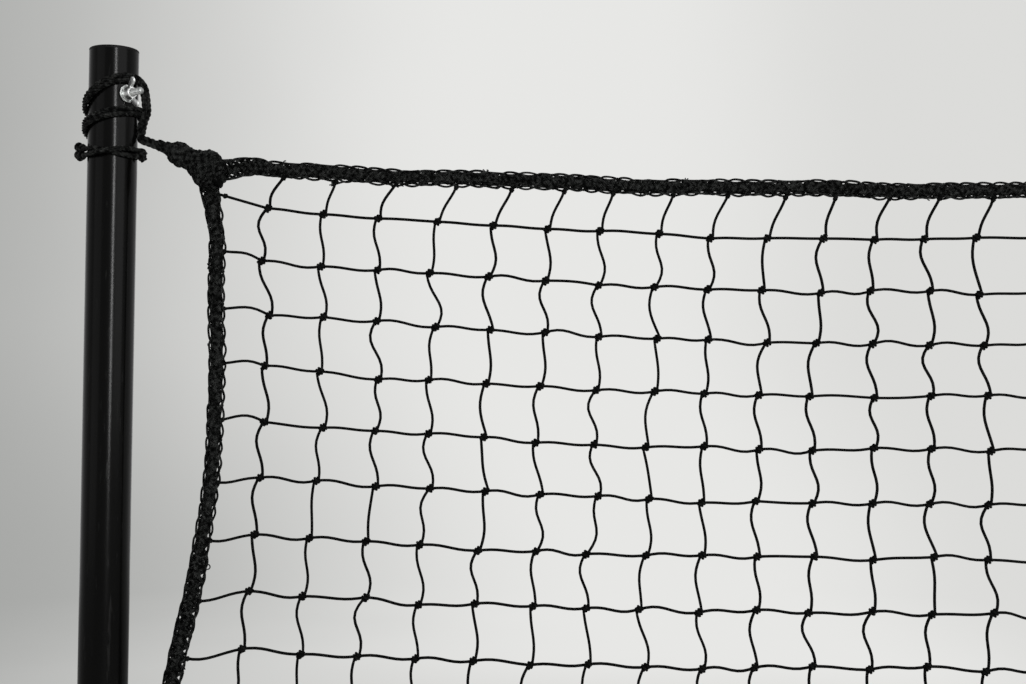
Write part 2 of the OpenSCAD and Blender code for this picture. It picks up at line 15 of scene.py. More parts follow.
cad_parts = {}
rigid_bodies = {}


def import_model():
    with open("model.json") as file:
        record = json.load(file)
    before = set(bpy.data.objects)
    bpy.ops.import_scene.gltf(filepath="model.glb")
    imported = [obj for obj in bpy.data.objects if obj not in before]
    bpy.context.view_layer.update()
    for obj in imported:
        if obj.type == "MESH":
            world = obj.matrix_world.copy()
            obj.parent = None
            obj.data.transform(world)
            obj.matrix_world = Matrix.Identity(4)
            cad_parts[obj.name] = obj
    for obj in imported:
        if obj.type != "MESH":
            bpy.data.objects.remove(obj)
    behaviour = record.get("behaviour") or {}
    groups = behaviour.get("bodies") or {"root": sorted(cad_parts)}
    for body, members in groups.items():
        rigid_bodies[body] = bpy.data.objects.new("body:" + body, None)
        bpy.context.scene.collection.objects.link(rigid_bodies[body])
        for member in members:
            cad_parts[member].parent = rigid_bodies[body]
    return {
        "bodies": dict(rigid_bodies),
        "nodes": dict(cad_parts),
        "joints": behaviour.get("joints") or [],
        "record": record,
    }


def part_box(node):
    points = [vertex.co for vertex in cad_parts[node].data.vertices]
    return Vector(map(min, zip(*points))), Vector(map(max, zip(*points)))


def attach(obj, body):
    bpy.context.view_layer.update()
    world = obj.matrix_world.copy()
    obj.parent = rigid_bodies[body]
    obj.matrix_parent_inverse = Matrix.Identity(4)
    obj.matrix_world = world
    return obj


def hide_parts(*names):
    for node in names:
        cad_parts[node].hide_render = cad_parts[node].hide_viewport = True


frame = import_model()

LOG = logging.getLogger("pitching_target_net")
MM = 0.001
TURN = 2 * pi
UP, RIGHT, FRONT = Vector((0, 0, 1)), Vector((1, 0, 0)), Vector((0, -1, 0))
ROOT_BODY = "frame_and_net"
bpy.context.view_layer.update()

BMesh, BMVert = bmesh.types.BMesh, bmesh.types.BMVert
Piece, Mesh, Material = bpy.types.Object, bpy.types.Mesh, bpy.types.Material
Line = list[Vector]


# ---- shader sums


def math_node(operation: str, swapped: bool = False) -> Callable[..., "Sock"]:
    """Make a method of Sock that adds a Math node.

    Args:
        operation: The node's operation.
        swapped: True where the socket is its second value.

    Returns:
        The method.
    """

    def method(self: "Sock", other: Any = None) -> "Sock":
        """Add the Math node."""
        pair = {0: self} if other is None else {int(swapped): self, int(not swapped): other}
        return self.tree.sock("ShaderNodeMath", {"operation": operation}, pair)

    return method


class Sock:
    """A node socket that takes part in Python sums."""

    __add__, __radd__ = math_node("ADD"), math_node("ADD", True)
    __sub__, __rsub__ = math_node("SUBTRACT"), math_node("SUBTRACT", True)
    __mul__, __rmul__ = math_node("MULTIPLY"), math_node("MULTIPLY", True)
    __pow__, sine, size = math_node("POWER"), math_node("SINE"), math_node("ABSOLUTE")

    def __init__(self, tree: "Tree", socket: bpy.types.NodeSocket) -> None:
        """Wrap one output socket of a tree."""
        self.tree, self.socket = tree, socket

    def ramp(self, low: float, high: float) -> "Sock":
        """Smooth step of self, from 0 at low to 1 at high."""
        span = {"Value": self, "From Min": low, "From Max": high}
        return self.tree.sock("ShaderNodeMapRange", {"interpolation_type": "SMOOTHSTEP"}, span, "Result")


class Tree:
    """A node tree while it is being made."""

    def __init__(self, owner: Any) -> None:
        """Start an empty tree.

        Args:
            owner: A material or a world.
        """
        owner.use_nodes = True
        self.owner, self.tree = owner, owner.node_tree
        self.tree.nodes.clear()

    def fill(self, node: bpy.types.Node, values: dict) -> bpy.types.Node:
        """Set a node's inputs.

        Args:
            node: The node.
            values: A value or a link for each named or numbered input.

        Returns:
            The same node.
        """
        for name, value in values.items():
            if isinstance(value, Sock):
                self.tree.links.new(value.socket, node.inputs[name])
            else:
                node.inputs[name].default_value = value
        return node

    def node(self, kind: str, settings: dict, values: dict) -> bpy.types.Node:
        """Add any node.

        Args:
            kind: Its type.
            settings: Its settings, set before its inputs.
            values: A value or a link for each input.

        Returns:
            The new node.
        """
        made = self.tree.nodes.new(kind)
        for name, value in settings.items():
            setattr(made, name, value)
        return self.fill(made, values)

    def sock(self, kind: str, settings: dict, values: dict, output: int | str = 0) -> Sock:
        """Add a node and give one of its outputs."""
        return Sock(self, self.node(kind, settings, values).outputs[output])

    def place(self, source: str = "Object") -> Sock:
        """Texture coordinates: Object or UV of the piece itself, or Generated for the sky."""
        return self.sock("ShaderNodeTexCoord", {}, {}, source)

    def axis(self, vector: Sock, name: str) -> Sock:
        """One axis, X, Y or Z, of a vector."""
        return self.sock("ShaderNodeSeparateXYZ", {}, {0: vector}, name)

    def ray(self, kind: str) -> Sock:
        """1 for rays of one kind, otherwise 0."""
        return self.sock("ShaderNodeLightPath", {}, {}, f"Is {kind} Ray")


class Shader(Tree):
    """One node material while it is being made, on the piece's own coordinates."""

    def __init__(self, name: str) -> None:
        """Start a material with one Principled shader.

        Args:
            name: Its name.
        """
        super().__init__(bpy.data.materials.new(name))
        self.principled = self.node("ShaderNodeBsdfPrincipled", {}, {})
        self.surface = Sock(self, self.principled.outputs[0])
        self.out = self.node("ShaderNodeOutputMaterial", {}, {"Surface": self.surface})
        self.where = self.place()

    def set(self, **values: Any) -> None:
        """Set the Principled shader's inputs; an underscore stands for a space."""
        self.fill(self.principled, {name.replace("_", " "): value for name, value in values.items()})

    def noise(self, scale: float, detail: float = 2, stretch: Sequence[float] = (1, 1, 1)) -> Sock:
        """Noise from 0 to 1 on the piece's coordinates.

        Args:
            scale: Cells in a metre.
            detail: Octaves.
            stretch: A factor on each axis.

        Returns:
            The noise's value.
        """
        where = self.where
        if stretch != (1, 1, 1):
            where = self.sock("ShaderNodeMapping", {}, {"Vector": where, "Scale": stretch})
        return self.sock("ShaderNodeTexNoise", {}, {"Vector": where, "Scale": scale, "Detail": detail}, "Fac")

    def blend(self, mask: Sock, first: Any, second: Any) -> Sock:
        """Mix two colours or links: the first at 0, the second at 1."""
        first, second = ((*c, 1) if isinstance(c, tuple) else c for c in (first, second))
        return self.sock("ShaderNodeMix", {"data_type": "RGBA"}, {0: mask, 6: first, 7: second}, 2)

    def bump(self, height: Sock, depth: float, strength: float) -> None:
        """Raise the surface by a height from 0 to 1, which stands for a depth in metres."""
        values = {"Height": height, "Distance": depth, "Strength": strength}
        self.set(Normal=self.sock("ShaderNodeBump", {}, values))


# ---- finishes


class Slot(Enum):
    """Material slots of the record."""

    TUBE = "black_tube"
    CAP = "cap_rubber"
    PLUG = "plug_plastic"
    ZINC = "zinc_steel"
    WING = "wing_steel"
    TWINE = "twine"
    ROPE = "border_rope"
    CORD = "lashing_cord"
    WEBBING = "zone_webbing"


@dataclass(frozen=True)
class Finish:
    """Anything that can paint a material: a darker and a paler tone, and how rough it is."""

    name: str
    dark: tuple
    pale: tuple
    roughness: float

    def paint(self, shader: Shader) -> None:
        """Lay the finish's nodes."""
        shader.set(Base_Color=(*self.dark, 1), Roughness=self.roughness)

    def build(self) -> Material:
        """Make the finish's material.

        Returns:
            The material.
        """
        shader = Shader(self.name)
        self.paint(shader)
        return shader.owner


@dataclass(frozen=True)
class CoatedTube(Finish):
    """Satin black coat on steel tube, with faint rubbed places."""

    gloss: float = 0.095

    def paint(self, shader: Shader) -> None:
        """Cloud the coat, rub it along the tube and give it orange peel.

        Args:
            shader: The material's shader.
        """
        cloud = shader.noise(14, 3)
        scuff = shader.noise(240, 5, (1, 1, 0.12)).ramp(0.60, 0.74)
        dust = shader.noise(1600).ramp(0.66, 0.80)
        shader.set(
            Base_Color=shader.blend(scuff * 0.5 + dust * 0.25, self.dark, self.pale),
            Roughness=self.roughness + cloud * 0.08 + scuff * 0.18,
            Specular_IOR_Level=self.gloss,
        )
        shader.bump(shader.noise(700, 1) + scuff * 0.3, 0.00005, 0.4)


@dataclass(frozen=True)
class MouldedRubber(Finish):
    """Matt black rubber with a fine moulded grain and pale dust low down."""

    dust_height: float = 30 * MM

    def paint(self, shader: Shader) -> None:
        """Dust the lower part and grain the whole.

        Args:
            shader: The material's shader.
        """
        low = 1 - shader.axis(shader.where, "Z").ramp(0, self.dust_height)
        cloud = shader.noise(45, 4)
        tone = shader.blend(low * cloud.ramp(0.42, 0.85) * 0.55, self.dark, self.pale)
        shader.set(Base_Color=tone, Roughness=self.roughness + cloud * 0.16)
        shader.bump(shader.noise(1300), 0.00012, 0.7)


@dataclass(frozen=True)
class MouldedPlastic(Finish):
    """Black moulded plastic, a little duller than the tube."""

    gloss: float = 0.12

    def paint(self, shader: Shader) -> None:
        """Chalk it in patches, over a spark-eroded grain.

        Args:
            shader: The material's shader.
        """
        spark = shader.noise(2200)
        tone = shader.blend(shader.noise(60, 4).ramp(0.55, 0.80) * 0.35, self.dark, self.pale)
        roughness = self.roughness + spark * 0.12
        shader.set(Base_Color=tone, Roughness=roughness, Specular_IOR_Level=self.gloss)
        shader.bump(spark, 0.00006, 0.8)


@dataclass(frozen=True)
class PlatedSteel(Finish):
    """Bright plated steel: fine turning lines, clouded plating and dark specks."""

    spangle: float
    tarnish: tuple = (0.10, 0.092, 0.080)

    def paint(self, shader: Shader) -> None:
        """Cloud the plating and speck it.

        Args:
            shader: The material's shader.
        """
        cloud = shader.noise(420, 3)
        speck = shader.noise(1900, 3).ramp(0.64, 0.80)
        tone = shader.blend(cloud.ramp(0.30, 0.72), self.dark, self.pale)
        shader.set(
            Base_Color=shader.blend(speck * 0.6, tone, self.tarnish),
            Metallic=1 - speck * 0.5,
            Roughness=self.roughness + cloud * 0.14 + speck * 0.25,
        )
        shader.bump(shader.noise(self.spangle, 3), 0.00005, 0.6)


@dataclass(frozen=True)
class TwistedFibre(Finish):
    """Black synthetic yarn: plies along the cord, fine fuzz, painted highlights on the plies' crowns and
    painted shade between them.

    The pattern follows the cord's UV map, where u counts the turns of its lay and v runs round it.
    """

    plies: float = 1
    lean: float = 1
    depth: float = 0.3 * MM
    # Span of the mask that paints highlights on the crowns and shade between the plies.
    fade: tuple = (0.30, 0.56)
    gloss: float = 0.05

    def paint(self, shader: Shader) -> None:
        """Twist the plies round the cord, paint highlights on their crowns and shade between them.

        Args:
            shader: The material's shader.
        """
        strip = shader.place("UV")
        along, round_it = shader.axis(strip, "X"), shader.axis(strip, "Y")
        ply = ((round_it * self.plies + along * self.lean) * TURN).sine().size() ** 0.6
        hair, cloud = shader.noise(5200), shader.noise(260, 3)
        # Painted light: the crowns of the plies are paler as painted highlights, and the valleys between them
        # are darker as painted shade.
        crown = ((ply * 0.75 + hair * 0.25) * cloud).ramp(*self.fade)
        shader.set(
            Base_Color=shader.blend(crown, self.dark, self.pale),
            Roughness=self.roughness + hair * 0.12,
            Sheen_Weight=0.003,
            Sheen_Roughness=0.45,
            Sheen_Tint=(0.55, 0.55, 0.55, 1),
            Specular_IOR_Level=self.gloss,
        )
        shader.bump(ply * 0.85 + hair * 0.15, self.depth, 0.9)


@dataclass(frozen=True)
class WovenWebbing(Finish):
    """White flat webbing: a close weave and handling marks."""

    warp: float = 640
    mark: tuple = (0.36, 0.345, 0.31)

    def paint(self, shader: Shader) -> None:
        """Weave it and mark it.

        Args:
            shader: The material's shader.
        """
        strip = shader.place("UV")
        thread = (shader.axis(strip, "Y") * (self.warp * TURN)).sine()
        pick = (shader.axis(strip, "X") * (self.warp * 0.75 * TURN)).sine()
        hair = shader.noise(4200)
        weave = (thread * pick * 0.5 + 0.5) * 0.8 + hair * 0.2
        handled = shader.noise(34, 4).ramp(0.46, 0.80) * 0.45
        shader.set(
            Base_Color=shader.blend(handled, shader.blend(weave, self.dark, self.pale), self.mark),
            Roughness=self.roughness + hair * 0.15,
            Sheen_Weight=0.2,
        )
        shader.bump(weave, 0.00035, 0.8)


def finishes() -> dict[Slot, Material]:
    """Make the material of every slot.

    Returns:
        The materials.
    """
    shade = (0.0004, 0.0005, 0.0004)
    looks = {
        Slot.TUBE: CoatedTube("coated_tube", (0.0014, 0.0014, 0.0013), (0.009, 0.009, 0.0086), 0.16),
        Slot.CAP: MouldedRubber("moulded_rubber", (0.011, 0.011, 0.011), (0.10, 0.098, 0.092), 0.66),
        Slot.PLUG: MouldedPlastic("moulded_plastic", (0.003, 0.003, 0.0028), (0.014, 0.014, 0.0135), 0.50),
        Slot.ZINC: PlatedSteel("zinc_steel", (0.34, 0.35, 0.345), (0.50, 0.51, 0.50), 0.30, 900),
        Slot.WING: PlatedSteel("wing_steel", (0.74, 0.75, 0.745), (0.90, 0.91, 0.90), 0.24, 1500),
        # For the twine, rope and cord, the pale tone is a painted highlight on the crowns of the plies, and
        # the dark tone also stands for painted shade between them.
        Slot.TWINE: TwistedFibre("net_twine", (0.0010, 0.0011, 0.0010), (0.008, 0.0084, 0.008), 0.62),
        Slot.ROPE: TwistedFibre("border_yarn", shade, (0.0430, 0.0447, 0.0430), 0.66),
        Slot.CORD: TwistedFibre("lashing_strand", shade, (0.0420, 0.0432, 0.0415), 0.50, 3, 2, 0.25 * MM),
        Slot.WEBBING: WovenWebbing("woven_webbing", (0.46, 0.455, 0.43), (0.74, 0.735, 0.70), 0.72),
    }
    return {slot: look.build() for slot, look in looks.items()}


# ---- shared forms


def mm(x: float, y: float, z: float) -> Vector:
    """Vector given in millimetres."""
    return Vector((x, y, z)) * MM


def smooth_step(value: float, low: float, high: float) -> float:
    """Eased step of a value, from 0 at low to 1 at high."""
    part = min(1, max(0, (value - low) / (high - low)))
    return part * part * (3 - 2 * part)


def bell(value: float, middle: float, width: float) -> float:
    """Bell curve: 1 at its middle, and small two widths away."""
    return exp(-(((value - middle) / width) ** 2))


def swung(first: Vector, second: Vector, angle: float) -> Vector:
    """Direction at an angle from the first of two square ones towards the second."""
    return first * cos(angle) + second * sin(angle)


def rounded_line(points: Sequence[Vector], step: float, passes: int = 2) -> Line:
    """Draw a line through points with no sharp corner, at even steps.

    Args:
        points: The rough line.
        step: Distance between the points returned.
        passes: How often its corners are cut.

    Returns:
        The even line, with the same two ends.
    """
    for _ in range(passes):
        cut = [points[0]]
        for a, b in zip(points, points[1:]):
            cut += [a.lerp(b, 0.25), a.lerp(b, 0.75)]
        points = [*cut, points[-1]]
    even, left = [points[0].copy()], step
    for a, b in zip(points, points[1:]):
        span = (b - a).length
        while left <= span:
            even.append(a.lerp(b, left / span))
            left += step
        left -= span
    return [*even, points[-1].copy()]


def frames_along(line: Line, first: Vector) -> list[tuple[Vector, Vector]]:
    """Carry two square directions along a line without twist.

    Args:
        line: The centre line.
        first: The first direction, roughly square to the line's start.

    Returns:
        Two unit directions at each point, square to the line and to each other.
    """
    carried, side = [], first
    for n, _ in enumerate(line):
        ahead = (line[min(n + 1, len(line) - 1)] - line[max(n - 1, 0)]).normalized()
        side = (side - ahead * side.dot(ahead)).normalized()
        carried.append((side, ahead.cross(side)))
    return carried


def laid_strands(line: Line, first: Vector, offset: float, lay: float, strands: int = 3) -> list[Line]:
    """Twist strands round a centre line, as in laid cord.

    Args:
        line: The cord's centre line, at even steps.
        first: A direction square to its start.
        offset: Distance of each strand from the centre line.
        lay: Length of one turn.
        strands: How many strands.

    Returns:
        One centre line for each strand.
    """
    turn, twisted = TURN * (line[1] - line[0]).length / lay, []
    places = list(zip(line, frames_along(line, first)))
    for strand in range(strands):
        phase = TURN * strand / strands
        twisted.append([p + swung(a, b, phase + turn * n) * offset for n, (p, (a, b)) in enumerate(places)])
    return twisted


@dataclass(frozen=True)
class Coil:
    """Short coil of twine or cord, the visible part of a knot."""

    reach: float
    width: float
    turns: float = 2.4
    slim: float = 0.55
    points: int = 16

    def line(self, heart: Vector, along: Vector, side: Vector, out: Vector, start: float = 0) -> Line:
        """Draw the coil.

        Args:
            heart: Its middle.
            along: Its axis.
            side: A direction square to the axis.
            out: Another, square to both.
            start: Its first angle, from side towards out.

        Returns:
            Its centre line.
        """
        line = []
        for n in range(self.points):
            t = n / (self.points - 1)
            fat = self.width * (self.slim + (1 - self.slim) * sin(pi * t))
            around = swung(side, out, start + TURN * self.turns * t) * fat
            line.append(heart + along * self.reach * (2 * t - 1) + around)
        return line


# ---- pieces


def only_verts(parts: Iterable[Any]) -> list[BMVert]:
    """The vertices among the parts of a bmesh."""
    return [part for part in parts if isinstance(part, BMVert)]


def as_mesh(name: str, made: BMesh, smooth: bool = False) -> Mesh:
    """Turn a bmesh into a mesh.

    Args:
        name: The mesh's name.
        made: The bmesh, which is freed.
        smooth: True for smooth shading.

    Returns:
        The mesh.
    """
    mesh = bpy.data.meshes.new(name)
    for face in made.faces:
        face.smooth = smooth
    made.to_mesh(mesh)
    made.free()
    return mesh


def pour(part: BMesh, made: BMesh) -> None:
    """Add one bmesh to another, its faces turned outwards.

    Args:
        part: A closed bmesh, which is freed.
        made: The bmesh that takes it.
    """
    bmesh.ops.recalc_face_normals(part, faces=part.faces)
    loose = as_mesh("loose", part)
    made.from_mesh(loose)
    bpy.data.meshes.remove(loose)


def shown(holder: Piece) -> Mesh:
    """Take the mesh that an object shows.

    Args:
        holder: A new object with modifiers, or of a curve; it is removed.

    Returns:
        The mesh.
    """
    bpy.context.collection.objects.link(holder)
    graph = bpy.context.evaluated_depsgraph_get()
    mesh = bpy.data.meshes.new_from_object(holder.evaluated_get(graph), depsgraph=graph)
    bpy.data.objects.remove(holder)
    return mesh


def add_piece(name: str, mesh: Mesh, material: Material) -> Piece:
    """Make an object at the origin.

    Args:
        name: The object's name.
        mesh: Its mesh.
        material: Its only material.

    Returns:
        The new object.
    """
    mesh.materials.clear()
    mesh.materials.append(material)
    piece = bpy.data.objects.new(name, mesh)
    bpy.context.collection.objects.link(piece)
    return piece


def bevel(made: BMesh, edges: list, width: float, steps: int) -> None:
    """Round some edges of a bmesh."""
    bmesh.ops.bevel(made, geom=edges, offset=width, affect="EDGES", segments=steps, profile=0.5, material=-1)


def sharpen(mesh: Mesh, angle: float) -> None:
    """Mark the sharp edges of a smooth mesh.

    Args:
        mesh: The mesh.
        angle: How far a sharp edge turns, in degrees.
    """
    marked = bmesh.new()
    marked.from_mesh(mesh)
    for edge in marked.edges:
        edge.smooth = len(edge.link_faces) == 2 and edge.calc_face_angle(0) < radians(angle)
    marked.to_mesh(mesh)
    marked.free()


# ---- studio


@dataclass
class Lamp:
    """One soft rectangular lamp, aimed at a point of the object."""

    name: str
    place: tuple
    aim: tuple
    width: float
    height: float
    power: float

    def build(self) -> None:
        """Make the lamp."""
        data = bpy.data.lights.new(self.name, "AREA")
        data.shape, data.size, data.size_y = "RECTANGLE", self.width, self.height
        data.energy = self.power
        lamp = bpy.data.objects.new(self.name, data)
        lamp.location = self.place
        lamp.rotation_mode = "QUATERNION"
        lamp.rotation_quaternion = (Vector(self.aim) - Vector(self.place)).to_track_quat("-Z", "Y")
        bpy.context.collection.objects.link(lamp)


@dataclass
class Studio:
    """Pale round floor and wall that show the camera glowing painted light far off, lamps, sky light and the
    camera.
    """

    radius: float = 7
    wall_height: float = 7
    segments: int = 96
    lens_px: float = 1370
    frame_px: float = 1026
    sensor: float = 36
    eye: tuple = (-0.3299, -1.2549, 1.2231)
    pitch: float = 0.0281
    roll: float = 0.0100
    fill: float = 0.42
    lit_paint: tuple = (0.70, 0.70, 0.69, 1)
    blend_depth: float = 3.4
    lamps: tuple = (
        Lamp("key_lamp", (0.62, -2.75, 1.80), (-0.55, 0, 1.15), 0.25, 1.60, 52),
        Lamp("side_lamp", (2.30, -1.90, 2.10), (-0.20, 0, 0.90), 2.40, 2.20, 28),
        Lamp("left_lamp", (-3.00, -2.20, 1.70), (-0.40, 0, 0.80), 2.20, 2.20, 8),
    )

    def paint(self, name: str, blend_from: float) -> Material:
        """Make the pale paint of the floor or the wall, and the glowing painted light that the camera sees on
        it far off.

        Args:
            name: The material's name.
            blend_from: Distance from the middle where the floor's lit paint turns into glowing painted light.

        Returns:
            The material, which far from the object shows the camera a glowing painted light and shade instead
            of its lit colour.
        """
        shader = Shader(name)
        side, height = shader.axis(shader.where, "X"), shader.axis(shader.where, "Z")
        # Painted light and shade on the backdrop: darker to the left and low down, palest near the middle,
        # and a little less pale far to the right.
        drawn = side + height.ramp(0, 1.7) * 0.7 - 0.7 + shader.noise(0.8) * 0.3
        colour = shader.blend(drawn.ramp(-3.9, -0.35), (0.385, 0.39, 0.38), (0.80, 0.80, 0.785))
        colour = shader.blend(drawn.ramp(0.6, 2), colour, (0.715, 0.715, 0.70))
        shader.set(Base_Color=self.lit_paint, Roughness=0.92)
        # The painted light glows to camera rays only, and only far from the object; near the object the floor
        # is lit by the lamps.
        glow = shader.sock("ShaderNodeEmission", {}, {"Color": colour, "Strength": 1})
        flat = shader.sock("ShaderNodeVectorMath", {"operation": "MULTIPLY"}, {0: shader.where, 1: (1, 1, 0)})
        far = shader.sock("ShaderNodeVectorMath", {"operation": "LENGTH"}, {0: flat}, "Value")
        mask = shader.ray("Camera") * far.ramp(blend_from, blend_from + self.blend_depth)
        mixed = shader.sock("ShaderNodeMixShader", {}, {0: mask, 1: shader.surface, 2: glow})
        shader.fill(shader.out, {"Surface": mixed})
        return shader.owner

    def room(self) -> None:
        """Make the round floor and the wall that stands on its edge."""
        disc, ring = bmesh.new(), bmesh.new()
        bmesh.ops.create_circle(disc, cap_ends=True, segments=self.segments, radius=self.radius)
        floor = add_piece("stage_floor", as_mesh("stage_floor", disc), self.paint("floor_paint", 1.6))
        bmesh.ops.create_circle(ring, cap_ends=False, segments=self.segments, radius=self.radius)
        rise = bmesh.ops.extrude_edge_only(ring, edges=ring.edges[:])
        bmesh.ops.translate(ring, verts=only_verts(rise["geom"]), vec=UP * self.wall_height)
        bmesh.ops.reverse_faces(ring, faces=ring.faces)
        wall = add_piece("stage_wall", as_mesh("stage_wall", ring), self.paint("wall_paint", -5))
        # The wall is seen by the camera alone, where it glows with painted light.
        for ray in ("diffuse", "glossy", "transmission", "shadow"):
            setattr(wall, f"visible_{ray}", False)

    def sky(self) -> None:
        """Make the even sky light; what mirrors it sees it pale behind the object, deeper in front."""
        world = bpy.data.worlds.new("studio_light")
        bpy.context.scene.world = world
        tree = Tree(world)
        span = {"From Min": -0.25, "From Max": 0.9, "To Min": 0.46, "To Max": 0.80}
        span["Value"] = tree.axis(tree.place("Generated"), "Y")
        mirrored = tree.sock("ShaderNodeMapRange", {}, span)
        strength = tree.sock("ShaderNodeMix", {}, {0: tree.ray("Glossy"), 2: self.fill, 3: mirrored})
        back = tree.sock("ShaderNodeBackground", {}, {"Color": (1, 1, 1, 1), "Strength": strength})
        tree.node("ShaderNodeOutputWorld", {}, {"Surface": back})

    def camera(self) -> None:
        """Make the camera, level with the top of the net and close to its left upright."""
        data = bpy.data.cameras.new("camera")
        data.sensor_width, data.lens = self.sensor, self.lens_px / self.frame_px * self.sensor
        data.clip_start, data.clip_end = 0.02, 60
        camera = bpy.data.objects.new("camera", data)
        turn = Matrix.Rotation(pi / 2 + self.pitch, 4, "X") @ Matrix.Rotation(self.roll, 4, "Z")
        camera.matrix_world = Matrix.Translation(self.eye) @ turn
        bpy.context.collection.objects.link(camera)
        bpy.context.scene.camera = camera

    def build(self) -> None:
        """Make the room, the sky light, the lamps (key, right and left) and the camera."""
        self.room()
        self.sky()
        for lamp in self.lamps:
            lamp.build()
        self.camera()
        bpy.context.scene.view_settings.view_transform = "Standard"


# ---- net


@dataclass(frozen=True)
class Hang:
    """How the net hangs between its four corners, in metres.

    u runs from -1 at the left border to 1 at the right, v from 0 at the top to 1.
    """

    half_width: float = 603.8 * MM
    height: float = 1157.8 * MM
    top: float = 1417.45 * MM
    side_pull: float = 52.975 * MM
    top_sag: float = 16 * MM
    bottom_sag: float = 10 * MM
    straight_share: float = 0.46
    pull_power: float = 1.7
    pull_round: float = 0.06
    upright_x: float = 700 * MM

    @property
    def bottom(self) -> float:
        """Height of the bottom corners."""
        return self.top - self.height

    @property
    def middle(self) -> float:
        """Height of the side ties."""
        return (self.top + self.bottom) / 2

    def pull(self, v: float) -> float:
        """Share of the side pull at a depth v."""
        away = hypot(2 * v - 1, self.pull_round) - self.pull_round
        return max(0, 1 - away / (1 - self.straight_share)) ** self.pull_power

    def border(self, u: float, v: float) -> Vector:
        """Point of the border or, before it is shaken, of the net."""
        drop = v * self.height + (1 - u * u) * (self.top_sag * (1 - v) + self.bottom_sag * v)
        return Vector((u * (self.half_width + self.side_pull * self.pull(v)), 0, self.top - drop))

    def point(self, u: float, v: float) -> Vector:
        """Point of the hanging net, whose meshes drift sideways and down under their own weight.

        The numbers are millimetres: a slow surface over the net, and a wave every third row.

        Args:
            u: Place across.
            v: Depth.

        Returns:
            The point.
        """
        s, side = abs(u), copysign(1, u)
        drift = 9.8 - 0.9 * s - 6.5 * s * s - 118 * v + 106 * s * v + 227 * v * v - 167 * s * v * v
        drift += 2.2 * cos(TURN * v * 23.7 / 3)
        fall = -5.4 - 3.1 * s + 13 * s * s + 27.3 * v + 24.9 * s * v - 77 * v * v - 141 * s * v * v
        held = smooth_step(1 - s, 0, 0.05) * smooth_step(v, 0, 0.03) * (1 - smooth_step(v, 0.40, 0.62))
        return self.border(u, v) + mm(-side * drift * smooth_step(s, 0, 0.12), 0, fall) * held


@dataclass
class SubAssembly:
    """A part of the object, with what all of them are made with."""

    hang: Hang
    finishes: dict[Slot, Material]

    def settle(self, name: str, mesh: Mesh, slot: Slot, node: str, body: str = ROOT_BODY) -> None:
        """Make a piece that rides on its body, and hide the CAD node that it stands for.

        Args:
            name: The piece's name.
            mesh: Its mesh.
            slot: The record's material slot.
            node: The CAD node that it replaces, or nothing.
            body: The body that it moves with.
        """
        piece = add_piece(name, mesh, self.finishes[slot])
        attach(piece, body)
        if node:
            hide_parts(node)
        LOG.info("%s: %d faces on %s", name, len(mesh.polygons), body)

    def cords(
        self, name: str, lines: list[Line], slot: Slot, radius: float, lay: float, node: str = "",
        fine: int = 1,
    ) -> None:
        """Make round cords of one thickness, with a UV map that counts the turns of their lay.

        Args:
            name: The piece's name.
            lines: The centre lines.
            slot: The record's material slot.
            radius: The cords' radius.
            lay: Length of one turn of their lay.
            node: The CAD node that the cords replace, or nothing.
            fine: Bevel resolution, from 0 for a square section.
        """
        curve = bpy.data.curves.new(name, "CURVE")
        curve.dimensions, curve.twist_mode, curve.use_fill_caps = "3D", "MINIMUM", True
        curve.bevel_depth, curve.bevel_resolution = radius, fine
        length = 0.0
        for line in lines:
            spline = curve.splines.new("POLY")
            spline.points.add(len(line) - 1)
            spline.points.foreach_set("co", [x for p in line for x in (*p, 1)])
            spline.use_smooth = True
            length += sum((b - a).length for a, b in zip(line, line[1:]))
        mesh = shown(bpy.data.objects.new(name, curve))
        bpy.data.curves.remove(curve)
        mesh.name = name
        layer, turns = mesh.uv_layers[0].data, length / len(lines) / lay
        flat = [0.0] * (2 * len(layer))
        layer.foreach_get("uv", flat)
        flat[0::2], flat[1::2] = [v * turns for v in flat[1::2]], flat[0::2]
        layer.foreach_set("uv", flat)
        self.settle(name, mesh, slot, node)


